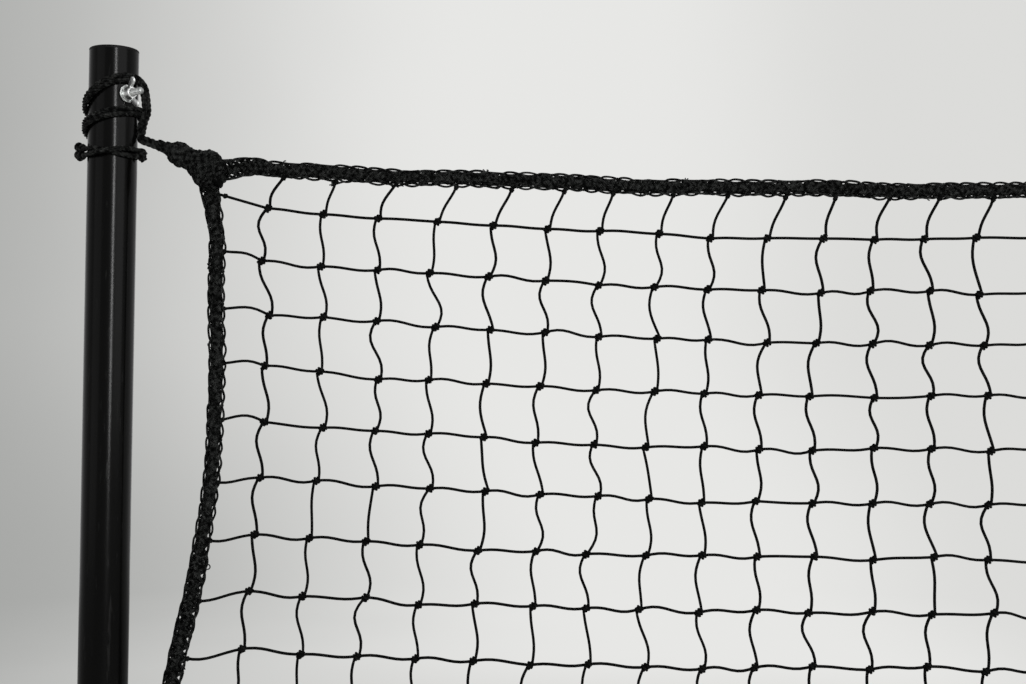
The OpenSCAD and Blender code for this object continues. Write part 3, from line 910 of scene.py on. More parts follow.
@dataclass
class KnottedNet(SubAssembly):
    """Square meshes of braided twine, tied at every crossing."""

    meshes: int = 24
    mesh_w: float = 50.8 * MM
    mesh_h: float = 48.9 * MM
    edge_w: float = 45 * MM
    edge_h: float = 41 * MM
    twine_r: float = 1.42 * MM
    twine_lay: float = 5.2 * MM
    steps: int = 9
    seed: int = 7
    swing: tuple = (-3.2, -1.6, 2.4, -2.8, 1.4)
    tie: Coil = Coil(3.2 * MM, 2.9 * MM)
    fall_hitch: Coil = Coil(1.7 * MM, 1.3 * MM)
    row_hitch: Coil = Coil(1.6 * MM, 1.2 * MM)
    hitch_from: float = 8.2 * MM

    def __post_init__(self) -> None:
        """Tie the knots in place."""
        self.rand, self.knots = random.Random(self.seed), {}
        for j in range(1, self.meshes):
            for i in range(1, self.meshes):
                u = (-self.hang.half_width + self.edge_w + (i - 1) * self.mesh_w) / self.hang.half_width
                v = (self.edge_h + (j - 1) * self.mesh_h) / self.hang.height
                sway = 2 * sin(0.9 * i + 0.4 * j) * cos(0.7 * j)
                shake = mm(self.rand.gauss(0, 1.6), sway, self.rand.gauss(0, 1.1))
                self.knots[i, j] = self.hang.point(u, v) + shake

    def run(self, start: Vector, end: Vector, bow: float, wave: float, axis: Vector) -> Line:
        """Draw one length of twine between two knots.

        Args:
            start: Where it leaves.
            end: Where it arrives.
            bow: How far its middle stands off the straight line, in millimetres.
            wave: How far it swings to one side and then the other, in millimetres.
            axis: The direction of both.

        Returns:
            The points between the two, without the last.
        """
        line = []
        for n in range(self.steps):
            t = n / self.steps
            line.append(start.lerp(end, t) + axis * (bow * sin(pi * t) + wave * sin(TURN * t)) * MM)
        return line

    def falls(self) -> list[Line]:
        """Draw the twines that hang down.

        Returns:
            Their centre lines.
        """
        lines, last, hook = [], self.meshes - 1, mm(2.3, 0, 2.2)
        for i in range(1, self.meshes):
            first, foot = self.knots[i, 1], self.knots[i, last]
            lean = RIGHT * self.rand.uniform(8, 21) * MM
            line = self.run(self.rim(first + lean, 0), first + hook, self.rand.uniform(-5, 1), 1.2, RIGHT)
            for j in range(1, last):
                a, b = self.knots[i, j], self.knots[i, j + 1]
                bow = self.swing[(j + i // 5) % 5] + self.rand.gauss(0, 1.1)
                line += [a + hook, *self.run(a - hook, b + hook, bow, self.rand.gauss(-1.5, 0.8), RIGHT)]
            tail = self.rim(foot - lean * 0.5, 1)
            lines.append([*line, *self.run(foot, tail, 2, 1, RIGHT), tail])
        return lines

    def rows(self) -> list[Line]:
        """Draw the twines that run across; the first is tighter.

        Returns:
            Their centre lines.
        """
        lines, last = [], self.meshes - 1
        for j in range(1, self.meshes):
            left, right = (self.side(self.knots[i, j], j) for i in (1, last))
            slack, bow, wave = 0.25, 0, 0
            if j > 1:
                slack, bow, wave = 1, (-4.2 if j < 6 else 3) + self.rand.uniform(-1.5, 1.5), 1.2
            line = self.run(left, self.knots[1, j], bow, wave, -UP)
            for i in range(1, last):
                bow, wave = self.rand.gauss(0.2, 0.9) * slack, self.rand.gauss(-1.2, 0.5) * slack
                line += self.run(self.knots[i, j], self.knots[i + 1, j], bow, wave, -UP)
            line += self.run(self.knots[last, j], right, self.rand.uniform(-4, 3), 1, -UP)
            lines.append([*line, right])
        return lines

    def rim(self, near: Vector, v: float) -> Vector:
        """Where a twine meets the top or bottom border."""
        return self.hang.border(near.x / self.hang.half_width, v) + Vector((0, near.y * 0.3, 0))

    def side(self, near: Vector, j: int) -> Vector:
        """Find where a twine meets the side border next to a knot.

        Args:
            near: The knot.
            j: Its row.

        Returns:
            The place, which climbs towards the top and falls towards the bottom.
        """
        row, lower = (j, 1) if j < self.meshes / 2 else (self.meshes - j, -0.6)
        rise = max(-9, 15 - 2.9 * row) * lower + (self.rand.uniform(-2, 2) if j > 1 else 0.9)
        return self.hang.border(copysign(1, near.x), (self.hang.top - near.z - rise * MM) / self.hang.height)

    def coiled(self, coil: Coil, heart: Vector, lean: float) -> Line:
        """Draw a coil in the plane of the net, from any first angle; lean is its tilt from level."""
        along, side = swung(RIGHT, UP, lean), swung(UP, -RIGHT, lean)
        return coil.line(heart, along, side, FRONT, self.rand.uniform(0, 6.28))

    def hitches(self, lines: list[Line], coil: Coil, lean: float) -> list[Line]:
        """Small hitches of one shape and lean, inside the borders at both ends of the twines."""
        ends = [pair for line in lines for pair in ((line[0], line[1]), (line[-1], line[-2]))]
        return [self.coiled(coil, a + (b - a).normalized() * self.hitch_from, lean) for a, b in ends]

    def build(self) -> None:
        """Make the falls, the rows, the knots and the hitches."""
        falls, rows = self.falls(), self.rows()
        knots = [self.coiled(self.tie, knot, self.rand.gauss(0.72, 0.16)) for knot in self.knots.values()]
        hitches = self.hitches(falls, self.fall_hitch, 1.2) + self.hitches(rows, self.row_hitch, 0.2)
        for kind, lines in (("falls", falls), ("rows", rows), ("knots", knots), ("hitches", hitches)):
            self.cords(f"net_{kind}", lines, Slot.TWINE, self.twine_r, self.twine_lay, "net_mesh")


# ---- border ropes


class Edge(Enum):
    """The four sides of the net."""

    TOP = "border_top"
    BOTTOM = "border_bottom"
    LEFT = "border_left"
    RIGHT = "border_right"

    @property
    def level(self) -> bool:
        """Whether it runs across."""
        return self in (Edge.TOP, Edge.BOTTOM)

    @property
    def across(self) -> Vector:
        """Direction square to it in the plane of the net."""
        return UP if self.level else RIGHT

    @property
    def inner(self) -> int:
        """Sign of the side where the net hangs."""
        return -1 if self in (Edge.TOP, Edge.RIGHT) else 1

    @property
    def snags(self) -> tuple[float, float]:
        """Where along the rope a cut end and a slack loop stand out, from 0 to 1."""
        spots = {"TOP": (0.102, 0.71), "BOTTOM": (0.63, 0.22), "LEFT": (0.81, 0.314), "RIGHT": (0.23, 0.66)}
        return spots[self.name]


@dataclass
class KnittedBorder(SubAssembly):
    """Border rope: a core in a loose knitted cover with small loops along both edges."""

    edge: Edge
    core_r: float = 4.2 * MM
    cover_r: float = 4.4 * MM
    yarn_r: float = 1.25 * MM
    loop_r: float = 1.05 * MM
    end_r: float = 0.6 * MM
    core_lay: float = 9 * MM
    yarn_lay: float = 4 * MM
    stitch: float = 12 * MM
    loop: float = 15 * MM
    yarns: int = 7
    tufts: int = 9
    cut_ends: int = 5
    start: float = 3 * MM
    dip: float = 3.5 * MM
    crest: float = 4.5 * MM
    bulge: float = 3.8 * MM
    rise: float = 0.9 * MM
    sway: float = 1.2 * MM
    zigzag: float = 0.78
    drift: float = 0.16
    puff: float = 0.55 * MM
    uneven: float = 0.15 * MM
    loop_tip: float = 5.3 * MM
    loop_swell: float = 2.6 * MM
    loop_foot: float = 4.5 * MM
    foot_swell: float = 1.9 * MM
    tuft_margin: int = 30
    rough_steps: int = 110
    step: float = 1.5 * MM

    def __post_init__(self) -> None:
        """Lay the centre line, with its square directions and its fullness."""
        self.rand = random.Random(f"{self.edge.value} rope")
        self.line = self.centre_line()
        frames = frames_along(self.line, self.edge.across)
        self.places = [(p, a, b, *self.fullness(p)) for p, (a, b) in zip(self.line, frames)]

    def centre_line(self) -> Line:
        """Draw the rope, which wanders slowly, dips at its ends and bulges further on.

        Returns:
            Its centre line, at even steps.
        """
        hang, inner, rough = self.hang, self.edge.inner, []
        phases = [self.rand.uniform(0, 6.28) for _ in range(4)]
        for n in range(self.rough_steps + 1):
            t = n / self.rough_steps
            calm = smooth_step(t, 0, 0.06) * smooth_step(1 - t, 0, 0.06)
            if self.edge.level:
                spot = hang.border((2 * t - 1) * (1 - self.start / hang.half_width), (1 + inner) / 2)
                crest = self.crest * bell(hang.half_width - abs(spot.x), 31 * MM, 14 * MM)
                near = self.dip * (1 - calm) - crest
            else:
                inset = self.start / hang.height
                spot = hang.border(-inner, inset + (1 - 2 * inset) * t)
                near = -2.2 * self.dip * (1 - calm) + self.bulge * bell(abs(2 * t - 1), 0.64, 0.13)
            rise = sin(31 * t + phases[0]) + 0.5 * sin(67 * t + phases[1])
            sway = sin(23 * t + phases[2]) + 0.5 * sin(51 * t + phases[3])
            off = self.rise * rise * calm + inner * near
            rough.append(spot + self.edge.across * off - FRONT * self.sway * sway)
        return rounded_line(rough, self.step)

    def fullness(self, p: Vector) -> tuple[float, float]:
        """Tell how the rope stands at a point of its centre line.

        Args:
            p: The point.

        Returns:
            How far it is free of the side ties, and how full it is at the corners and where it is pulled.
        """
        pulled = abs(p.x) - self.hang.half_width
        free = smooth_step(abs(p.z - self.hang.middle), 12 * MM, 22 * MM) if pulled > 10 * MM else 1
        corner = hypot(pulled, min(abs(p.z - self.hang.top), abs(p.z - self.hang.bottom)))
        full = 1 + 0.30 * smooth_step(pulled, 4 * MM, 16 * MM) * free + 0.55 * bell(corner, 12 * MM, 20 * MM)
        return free, full

    def cover(self) -> list[Line]:
        """Draw the cover's yarns, each in a zigzag of stitches round its part of the core.

        Returns:
            Their centre lines.
        """
        rand, drawn = self.rand, []
        for yarn in range(self.yarns):
            base, phase, path = TURN * yarn / self.yarns, rand.uniform(0, 6.28), []
            turn = phase
            for p, a, b, _, full in self.places:
                turn += TURN * self.step / self.stitch * rand.uniform(0.75, 1.25)
                angle = base + self.zigzag * sin(turn) + self.drift * sin(0.37 * turn + 2 * phase)
                r = self.cover_r + self.puff * cos(2 * turn + phase) + rand.uniform(-self.uneven, self.uneven)
                path.append(p + swung(a, b, angle) * r * full)
            drawn.append(path)
        return drawn

    def loops(self) -> list[Line]:
        """Draw the loops on both sides of the rope in the plane of the net, and their feet in the cover.

        Returns:
            Their centre lines.
        """
        rand, drawn = self.rand, []
        for sign in (-1, 1):
            turn, tall, tips, feet = rand.uniform(0, 3), 1, [], []
            for p, a, b, free, full in self.places:
                before = int(turn / pi)
                turn += pi * self.step / self.loop * rand.uniform(0.7, 1.3)
                if int(turn / pi) != before:
                    tall = rand.choice((0.35, 0.8, 0.9, 1.0)) * rand.uniform(0.85, 1.0)
                swell = tall * abs(sin(turn)) ** 0.6 * (2 - full) ** 1.5
                tip = self.loop_tip * full + self.loop_swell * swell * free
                foot = self.loop_foot * full + self.foot_swell * (1 - swell) * free
                tips.append(p + a * sign * tip + b * 1.3 * MM * sin(2 * turn + 1))
                feet.append(p + a * sign * foot + b * 2.2 * MM * cos(turn))
            drawn += [tips, feet]
        return drawn

    def tufts_out(self) -> list[Line]:
        """Draw short ends of yarn that have worked out of the cover, in tufts of one to three.

        Returns:
            Their centre lines.
        """
        rand, line, drawn = self.rand, self.line, []
        for _ in range(self.tufts):
            n = rand.randrange(self.tuft_margin, len(line) - self.tuft_margin)
            side, (a, b) = rand.choice((-1, 1)), self.places[n][1:3]
            for _ in range(rand.choice((1, 2, 3))):
                spot = line[n] + (line[n + 1] - line[n]) * rand.uniform(-3, 3)
                ahead = (line[n + 1] - line[n]).normalized() * rand.uniform(-1, 1)
                reach = rand.uniform(3, 5.5) * 0.6 * MM
                root = spot + a * side * 6.2 * MM + b * rand.uniform(-2, 2) * MM
                bend = root + (a * side + ahead).normalized() * reach
                drawn.append(rounded_line([root - a * side * MM, root, bend, bend + ahead * reach], MM, 1))
        return drawn

    def snags_out(self) -> list[Line]:
        """Draw one frayed cut end and one slack loop, on the side where the net hangs.

        Returns:
            Their centre lines.
        """
        rand, line, drawn = self.rand, self.line, []
        cut, slack = (int(part * (len(line) - 1)) for part in self.edge.snags)
        inward, back = self.places[cut][1] * self.edge.inner, (line[cut] - line[cut + 1]).normalized()
        for n in range(self.cut_ends):
            root = line[cut] + (inward * 6 + self.places[cut][2] * (n - 2) * 0.5) * MM
            tip = root + (back * rand.uniform(15, 20) + inward * rand.uniform(0.5, 6.5)) * MM
            drawn.append(rounded_line([root, root + (back * 9 + inward * 2.6) * MM, tip], MM, 1))
        inward, along = self.places[slack][1] * self.edge.inner, (line[slack + 1] - line[slack]).normalized()
        heart = line[slack] + inward * 8.8 * MM
        ring = [heart + swung(inward, along, TURN * n / 12 + pi) * 2.3 * MM for n in range(13)]
        return [*drawn, ring, [ring[0] + (along - inward * 3) * MM, ring[0]]]

    def build(self) -> None:
        """Make the rope's core, cover, loops and loose ends."""
        for kind, lines, radius, lay, fine in (
            ("core", [self.line[::3] + [self.line[-1]]], self.core_r, self.core_lay, 2),
            ("cover", self.cover(), self.yarn_r, self.yarn_lay, 1),
            ("loops", self.loops(), self.loop_r, self.yarn_lay, 1),
            ("loose_ends", self.tufts_out() + self.snags_out(), self.end_r, self.yarn_lay, 1),
        ):
            self.cords(f"{self.edge.value}_{kind}", lines, Slot.ROPE, radius, lay, self.edge.value, fine)


# ---- corners


@dataclass(frozen=True)
class Corner:
    """One corner of the net, as the mirror image of the top left one."""

    hang: Hang
    right: bool
    low: bool

    @property
    def name(self) -> str:
        """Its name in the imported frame."""
        return f"{'bottom' if self.low else 'top'}_{'right' if self.right else 'left'}"

    def place(self, point: Vector) -> Vector:
        """Carry a point of the top left corner to this one."""
        x = -point.x if self.right else point.x
        return Vector((x, point.y, self.hang.top + self.hang.bottom - point.z if self.low else point.z))

    def all(self, lines: Iterable[Line]) -> list[Line]:
        """Carry whole lines to this corner."""
        return [[self.place(p) for p in line] for line in lines]


@dataclass
class CornerKnot(SubAssembly):
    """Wrapped knot that gathers the two border ropes: a small lump, then a main one."""

    corner: Corner
    length: float = 51.95 * MM
    radius: float = 18.4 * MM
    neck: float = 5.5 * MM
    lump: float = 11.4 * MM
    slope: float = radians(22)
    dip: float = 4 * MM
    yarn_r: float = 1.6 * MM
    yarn_lay: float = 6 * MM
    skin: float = 2.2 * MM
    least_r: float = 2.5 * MM
    wave: float = 0.35 * MM
    round_end: float = 0.45
    turn_points: int = 22
    segments: int = 20
    steps: int = 18

    def __post_init__(self) -> None:
        """Measure the knot with its round end, and aim its axis."""
        self.reach = self.length + self.radius * self.round_end
        self.along = swung(-RIGHT, UP, self.slope)

    def at(self, s: float) -> Vector:
        """Point of the knot's axis at a distance s from its narrow end."""
        drop = self.dip + (5.6 * (s / self.length) ** 2 - 1.2) * MM
        return Vector((-self.hang.half_width, 0, self.hang.top - drop)) + self.along * (self.length - s)

    def thick(self, s: float) -> float:
        """Radius at a distance s from the narrow end."""
        small, main = bell(s / self.length, 0.29, 0.18), bell(s / self.length, 0.84, 0.30)
        return self.neck + (self.lump - self.neck) * small + (self.radius - self.neck) * main

    def wrap(self, turns: float, phase: float, lean: float, sink: float) -> Line:
        """Wind one yarn from end to end.

        Args:
            turns: Its turns, negative for the other hand.
            phase: Its first angle.
            lean: How far each turn tilts, in metres.
            sink: How deep it lies under the knot's outline.

        Returns:
            Its centre line.
        """
        up, count, path = swung(UP, RIGHT, self.slope), int(abs(turns) * self.turn_points), []
        for n in range(count + 1):
            t = n / count
            angle = phase + TURN * turns * t
            s = self.reach * t + lean * sin(angle) * smooth_step(1 - t, 0, 0.3)
            r = max(self.least_r, self.thick(s) - sink + self.wave * sin(1.85 * angle + phase))
            path.append(self.at(s) + swung(FRONT, up, angle) * r * smooth_step(1 - t, -0.02, 0.13))
        return path

    def heart(self) -> BMesh:
        """Make the heart under the wraps: a circle drawn out ring by ring, then shaped along the axis.

        Returns:
            The closed solid.
        """
        solid = bmesh.new()
        rings = [bmesh.ops.create_circle(solid, cap_ends=False, segments=self.segments, radius=1)["verts"]]
        edges, turn = solid.edges[:], Matrix.Rotation(pi / 2 - self.slope, 3, "Y")
        for _ in range(self.steps):
            grown = bmesh.ops.extrude_edge_only(solid, edges=edges)["geom"]
            edges = [part for part in grown if isinstance(part, bmesh.types.BMEdge) and part.is_boundary]
            rings.append(only_verts(grown))
        for n, ring in enumerate(rings):
            s = self.reach * n / self.steps
            r = max(MM, self.thick(s) - self.skin) * smooth_step(1 - n / self.steps, -0.04, 0.16)
            for vert in ring:
                flat = Vector((vert.co.x, vert.co.y, 0)).normalized() * r
                vert.co = self.corner.place(self.at(s) + turn @ flat)
        bmesh.ops.holes_fill(solid, edges=[edge for edge in solid.edges if edge.is_boundary])
        bmesh.ops.recalc_face_normals(solid, faces=solid.faces)
        return solid

    def build(self) -> None:
        """Make the knot's heart, and two layers of wraps wound to opposite hands."""
        name = f"corner_knot_{self.corner.name}"
        self.settle(f"{name}_heart", as_mesh(f"{name}_heart", self.heart(), True), Slot.ROPE, name)
        lines = [self.wrap(3.2, 0.9 * n, 5 * MM, 1.9 * MM) for n in range(7)]
        lines += [self.wrap(-2.1, 1.57 * n + 0.4, -8 * MM, 1.3 * MM) for n in range(4)]
        self.cords(f"{name}_wraps", self.corner.all(lines), Slot.ROPE, self.yarn_r, self.yarn_lay, name)


# ---- lashings and ties


@dataclass
class Lashing(SubAssembly):
    """Doubled laid cord that straps a corner knot to the upright and winds round it."""

    knot: CornerKnot
    wind_r: float = 25.125 * MM
    bolt_z: float = 1480.45 * MM
    first_angle: float = radians(15)
    turns: float = 2.4
    turn_steps: int = 24
    pair: float = 2.35 * MM
    strand_r: float = 1.27 * MM
    strand_offset: float = 1.25 * MM
    lay: float = 14 * MM
    yarn_lay: float = 7 * MM
    step: float = 1.3 * MM
    stopper: Coil = Coil(4.7 * MM, 3.05 * MM, 1.9, 0.45, 31)
    ring_stopper: Coil = Coil(4.6 * MM, 2.8 * MM, 1.9, 0.45, 31)
    stopper_from: float = 2.2

    def round_pole(self, off: float, angle: float, z: float) -> Vector:
        """Point off outside the first winding and z over the bolt, in millimetres; angle is from the net."""
        axis = Vector((-self.hang.upright_x, 0, self.bolt_z + z * MM))
        return axis + swung(RIGHT, FRONT, angle) * (self.wind_r + off * MM)

    def wind_z(self, turn: float) -> float:
        """Height of the winding: over the wing nut, under the bolt's head, then down to a ring."""
        return 14 - 28.5 * smooth_step(turn, 0.08, 0.53) - 39 * smooth_step(turn, 0.95, 2.05)

    def strap(self) -> list[tuple[Vector, Vector]]:
        """Draw the strap from the knot to the upright.

        Returns:
            Points between the two cords, with the direction to the first.
        """
        tip, foot = self.knot.at(9 * MM), self.round_pole(1, radians(2), -39)
        above = FRONT.cross((foot - tip).normalized())
        above *= copysign(0.84, above.z)
        return [(tip.lerp(foot, part), above) for part in (0, 0.35, 0.75, 0.95, 1)]

    def climb(self) -> list[tuple[Vector, Vector]]:
        """Draw the climb outside the winding, where the first cord lies out from the second and behind it.

        Returns:
            Points and directions, as for the strap.
        """
        rough = []
        steps = ((0.6, 0, -34), (1.2, -2, -27), (3.0, -5, -20), (4.9, -8, -14))
        steps += ((4.6, -8, -7), (3.8, -7, 0), (2.8, -5, 6), (1.6, 0, 11))
        for off, degrees, z in steps:
            a = radians(degrees)
            out_share, front_share = (0.88, 0.2) if z < -24 else (0.75, 0.55) if z < -18 else (0.69, 1.15)
            apart = swung(RIGHT, FRONT, a) * out_share - swung(FRONT, -RIGHT, a) * front_share
            rough.append((self.round_pole(off, a, z), apart))
        return rough

    def winding(self) -> list[tuple[Vector, Vector]]:
        """Draw the turns round the upright, where the pair spreads a little and rolls over near its end.

        Returns:
            Points and directions, as for the strap.
        """
        rough = []
        for n in range(int(self.turn_steps * self.turns) + 1):
            turn = n / self.turn_steps
            angle, roll = self.first_angle + TURN * turn, pi * smooth_step(turn, 2.02, 2.36)
            apart = swung(UP, swung(RIGHT, FRONT, angle), roll) * (1 + 0.26 * smooth_step(turn, 1.5, 1.9))
            rough.append((self.round_pole(2 * sin(roll) + 0.3, angle, self.wind_z(turn)), apart))
        return rough

    def cord_lines(self) -> list[Line]:
        """Draw the two cords, from inside the corner knot to their cut ends.

        Returns:
            Their centre lines.
        """
        rough, last = self.strap() + self.climb() + self.winding(), self.first_angle + TURN * self.turns
        lines = []
        for sign in (1, -1):
            line = [spot + apart * self.pair * sign for spot, apart in rough]
            for n in (1, 2):
                tail = self.round_pole(n * n * 0.9, last + radians(7 * n), self.wind_z(self.turns))
                line.append(tail + UP * (n * MM - sign * (self.pair + 0.62 * MM * n)))
            lines.append(rounded_line(line, self.step))
        return lines

    def stopped(self, coil: Coil, heart: Vector, along: Vector) -> Line:
        """Draw a small tight overhand knot of one shape round its middle and its axis."""
        side = along.cross(UP if abs(along.z) < 0.8 else RIGHT).normalized()
        return rounded_line(coil.line(heart, along, side, along.cross(side), self.stopper_from), self.step)

    def stoppers(self, tails: list[Line]) -> list[Line]:
        """Draw knots on both tails, and a third on the ring at the net's side.

        Args:
            tails: The two cords.

        Returns:
            Their centre lines.
        """
        made = []
        for line in tails:
            along = (line[-1] - line[-4]).normalized()
            made.append(self.stopped(self.stopper, line[-1] + along * 0.1 * MM, along))
        heart = self.round_pole(2.3, 0, self.wind_z(2) - 0.5)
        return [*made, self.stopped(self.ring_stopper, heart, Vector((0.1, -0.4, 0.9)).normalized())]

    def build(self) -> None:
        """Make the lashing at its knot's corner."""
        strands, cords, corner = [], self.cord_lines(), self.knot.corner
        for line in [*cords, *self.stoppers(cords)]:
            strands += laid_strands(line, Vector((0, -1, 0.3)), self.strand_offset, self.lay)
        name = f"lashing_{corner.name}"
        self.cords(f"{name}_cords", corner.all(strands), Slot.CORD, self.strand_r, self.yarn_lay, name)


@dataclass
class SideTie(SubAssembly):
    """Laid cord belted round the upright and the border rope at mid height."""

    right: bool
    pole_belt: float = 25.175 * MM
    rope_belt: float = 9.95 * MM
    reach: float = 43.225 * MM
    lift: float = 7 * MM
    fall: float = 9 * MM
    first: float = radians(160)
    last: float = radians(556)
    run_points: int = 15
    strand_r: float = 1.1 * MM
    strand_offset: float = 1.12 * MM
    lay: float = 13 * MM
    yarn_lay: float = 7 * MM
    step: float = 1.3 * MM
    knot: Coil = Coil(6 * MM, 2.9 * MM, 1.6, 0.55, 27)

    def line(self) -> Line:
        """Draw the left tie round the upright, the rope and the upright again.

        Returns:
            Its centre line.
        """
        belt = acos((self.pole_belt - self.rope_belt) / self.reach)
        off, on, line = TURN - belt, TURN + belt, []
        pole, rope = (0, self.pole_belt), (self.reach, self.rope_belt)
        for low, high, (centre, radius) in ((self.first, off, pole), (off, on, rope), (on, self.last, pole)):
            for n in range(self.run_points):
                angle = low + (high - low) * n / (self.run_points - 1)
                part = (angle - self.first) / (self.last - self.first)
                z = self.hang.middle + self.lift + self.fall * (0.5 - part)
                axis = Vector((centre - self.hang.upright_x, 0, z))
                line.append(axis + swung(RIGHT, -FRONT, angle) * radius)
        return line

    def build(self) -> None:
        """Make the tie and its knot."""
        line = rounded_line(self.line(), self.step, 1)
        heart = line[0].lerp(line[-1], 0.5) + mm(-0.8, 2.4, 0)
        knot, strands = rounded_line(self.knot.line(heart, UP, RIGHT, -FRONT), self.step), []
        for path in (line, knot):
            strands += laid_strands(path, UP, self.strand_offset, self.lay)
        name = f"side_tie_{'right' if self.right else 'left'}"
        strands = Corner(self.hang, self.right, False).all(strands)
        self.cords(f"{name}_cord", strands, Slot.CORD, self.strand_r, self.yarn_lay, name)


# ---- bolts and wing nuts


class BoltSite(Enum):
    """The six bolts of the object."""

    TOP_LEFT = "top_left"
    TOP_RIGHT = "top_right"
    BOTTOM_LEFT = "bottom_left"
    BOTTOM_RIGHT = "bottom_right"
    RAIL_LEFT = "rail_left"
    RAIL_RIGHT = "rail_right"

    def place(self, upright_x: float, turn: float) -> Matrix:
        """Place of the bolt: its axis is Z, outwards, from the middle of its tube.

        Args:
            upright_x: Distance of the uprights from the middle.
            turn: Turn of the net bolts out of the net's plane, in radians.

        Returns:
            A placement that turns but doesn't mirror.
        """
        low, high = (Vector(corner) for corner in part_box(f"bolt_{self.value}"))
        seat, out, across = (low + high) / 2, FRONT, RIGHT
        if self not in (BoltSite.RAIL_LEFT, BoltSite.RAIL_RIGHT):
            side = copysign(1, seat.x)
            seat.x, out, across = side * upright_x, Vector((-side * cos(turn), -sin(turn), 0)), -UP
        seat.y = 0
        return Matrix.Translation(seat) @ Matrix((across, out.cross(across), out)).transposed().to_4x4()

    @property
    def wing_side(self) -> int:
        """Which way the tightened wings lean: the right bolts mirror the left ones."""
        return -1 if self in (BoltSite.TOP_RIGHT, BoltSite.BOTTOM_RIGHT) else 1


def wind(made: BMesh, profile: Sequence[tuple], segments: int, turns: float = 1, rise: float = 0) -> Any:
    """Turn a profile round the Z axis.

    Args:
        made: The bmesh that takes the form.
        profile: Radius and height of each point; off the axis, the profile is closed first.
        segments: Steps in a turn.
        turns: How many turns.
        rise: Height gained in one turn.

    Returns:
        The last parts made.
    """
    points = [made.verts.new((r, 0, z)) for r, z in profile]
    edges = [made.edges.new(pair) for pair in zip(points, points[1:])]
    if profile[0][0] > 0:
        edges.append(made.edges.new((points[-1], points[0])))
    if rise:
        made.faces.new(points)
    steps = int(turns * segments)
    wound = bmesh.ops.spin(
        made, geom=points + edges, cent=(0, 0, 0), axis=UP, dvec=UP * rise / segments,
        angle=TURN * steps / segments, steps=steps, use_merge=not rise,
    )
    if not rise:
        bmesh.ops.remove_doubles(made, verts=made.verts, dist=0.002 * MM)
    return wound["geom_last"]


@dataclass
class Fastener(SubAssembly):
    """A bolt or a nut at one of the sites."""

    site: BoltSite
    place: Matrix


@dataclass
class ThreadedBolt(Fastener):
    """Hexagon bolt with a rolled thread and a chamfered point."""

    major: float = 3.17 * MM
    minor: float = 2.62 * MM
    pitch: float = 1.27 * MM
    crest: float = 0.09 * MM
    back: float = 23.925 * MM
    tip: float = 46.075 * MM
    head_across: float = 11.1 * MM
    head_height: float = 4.1 * MM
    head_edge: float = 0.75 * MM
    thread_from: float = 17 * MM
    thread_to: float = 45.175 * MM
    sharp: float = 38

    def head(self) -> BMesh:
        """Make the hexagon head, its top edges rounded.

        Returns:
            The closed solid.
        """
        head = bmesh.new()
        radius, turned = self.head_across / 2 / cos(pi / 6), Matrix.Rotation(pi / 6, 4, "Z")
        bmesh.ops.create_circle(head, cap_ends=True, segments=6, radius=radius, matrix=turned)
        crown = only_verts(bmesh.ops.extrude_face_region(head, geom=head.faces[:])["geom"])
        bmesh.ops.translate(head, verts=crown, vec=-UP * self.head_height)
        rim = [edge for edge in head.edges if all(vert in crown for vert in edge.verts)]
        bevel(head, rim, self.head_edge, 3)
        bmesh.ops.translate(head, verts=head.verts, vec=-UP * self.back)
        return head

    def build(self) -> None:
        """Make the bolt: thread, shank and head."""
        made, root = bmesh.new(), self.minor - 0.05 * MM
        start, half = self.thread_from, self.pitch * 0.44
        ridge = ((root, -half), (self.major, -self.crest), (self.major, self.crest), (root, half))
        turns = (self.thread_to - start) / self.pitch
        last = wind(made, [(r, start + z) for r, z in ridge], 20, turns, self.pitch)
        bmesh.ops.contextual_create(made, geom=only_verts(last))
        shank = [(0, -self.back), (self.major, -self.back), (self.major, start - 0.5 * MM)]
        shank += [(self.minor, start), (self.minor, self.thread_to)]
        shank += [(self.minor - 0.25 * MM, self.tip - 0.35 * MM), (self.minor - 0.8 * MM, self.tip)]
        wind(made, [*shank, (0, self.tip)], 24)
        pour(self.head(), made)
        bmesh.ops.recalc_face_normals(made, faces=made.faces)
        bmesh.ops.transform(made, matrix=self.place, verts=made.verts)
        name = f"bolt_{self.site.value}"
        mesh = as_mesh(f"{name}_threaded", made, True)
        sharpen(mesh, self.sharp)
        self.settle(f"{name}_threaded", mesh, Slot.ZINC, name)


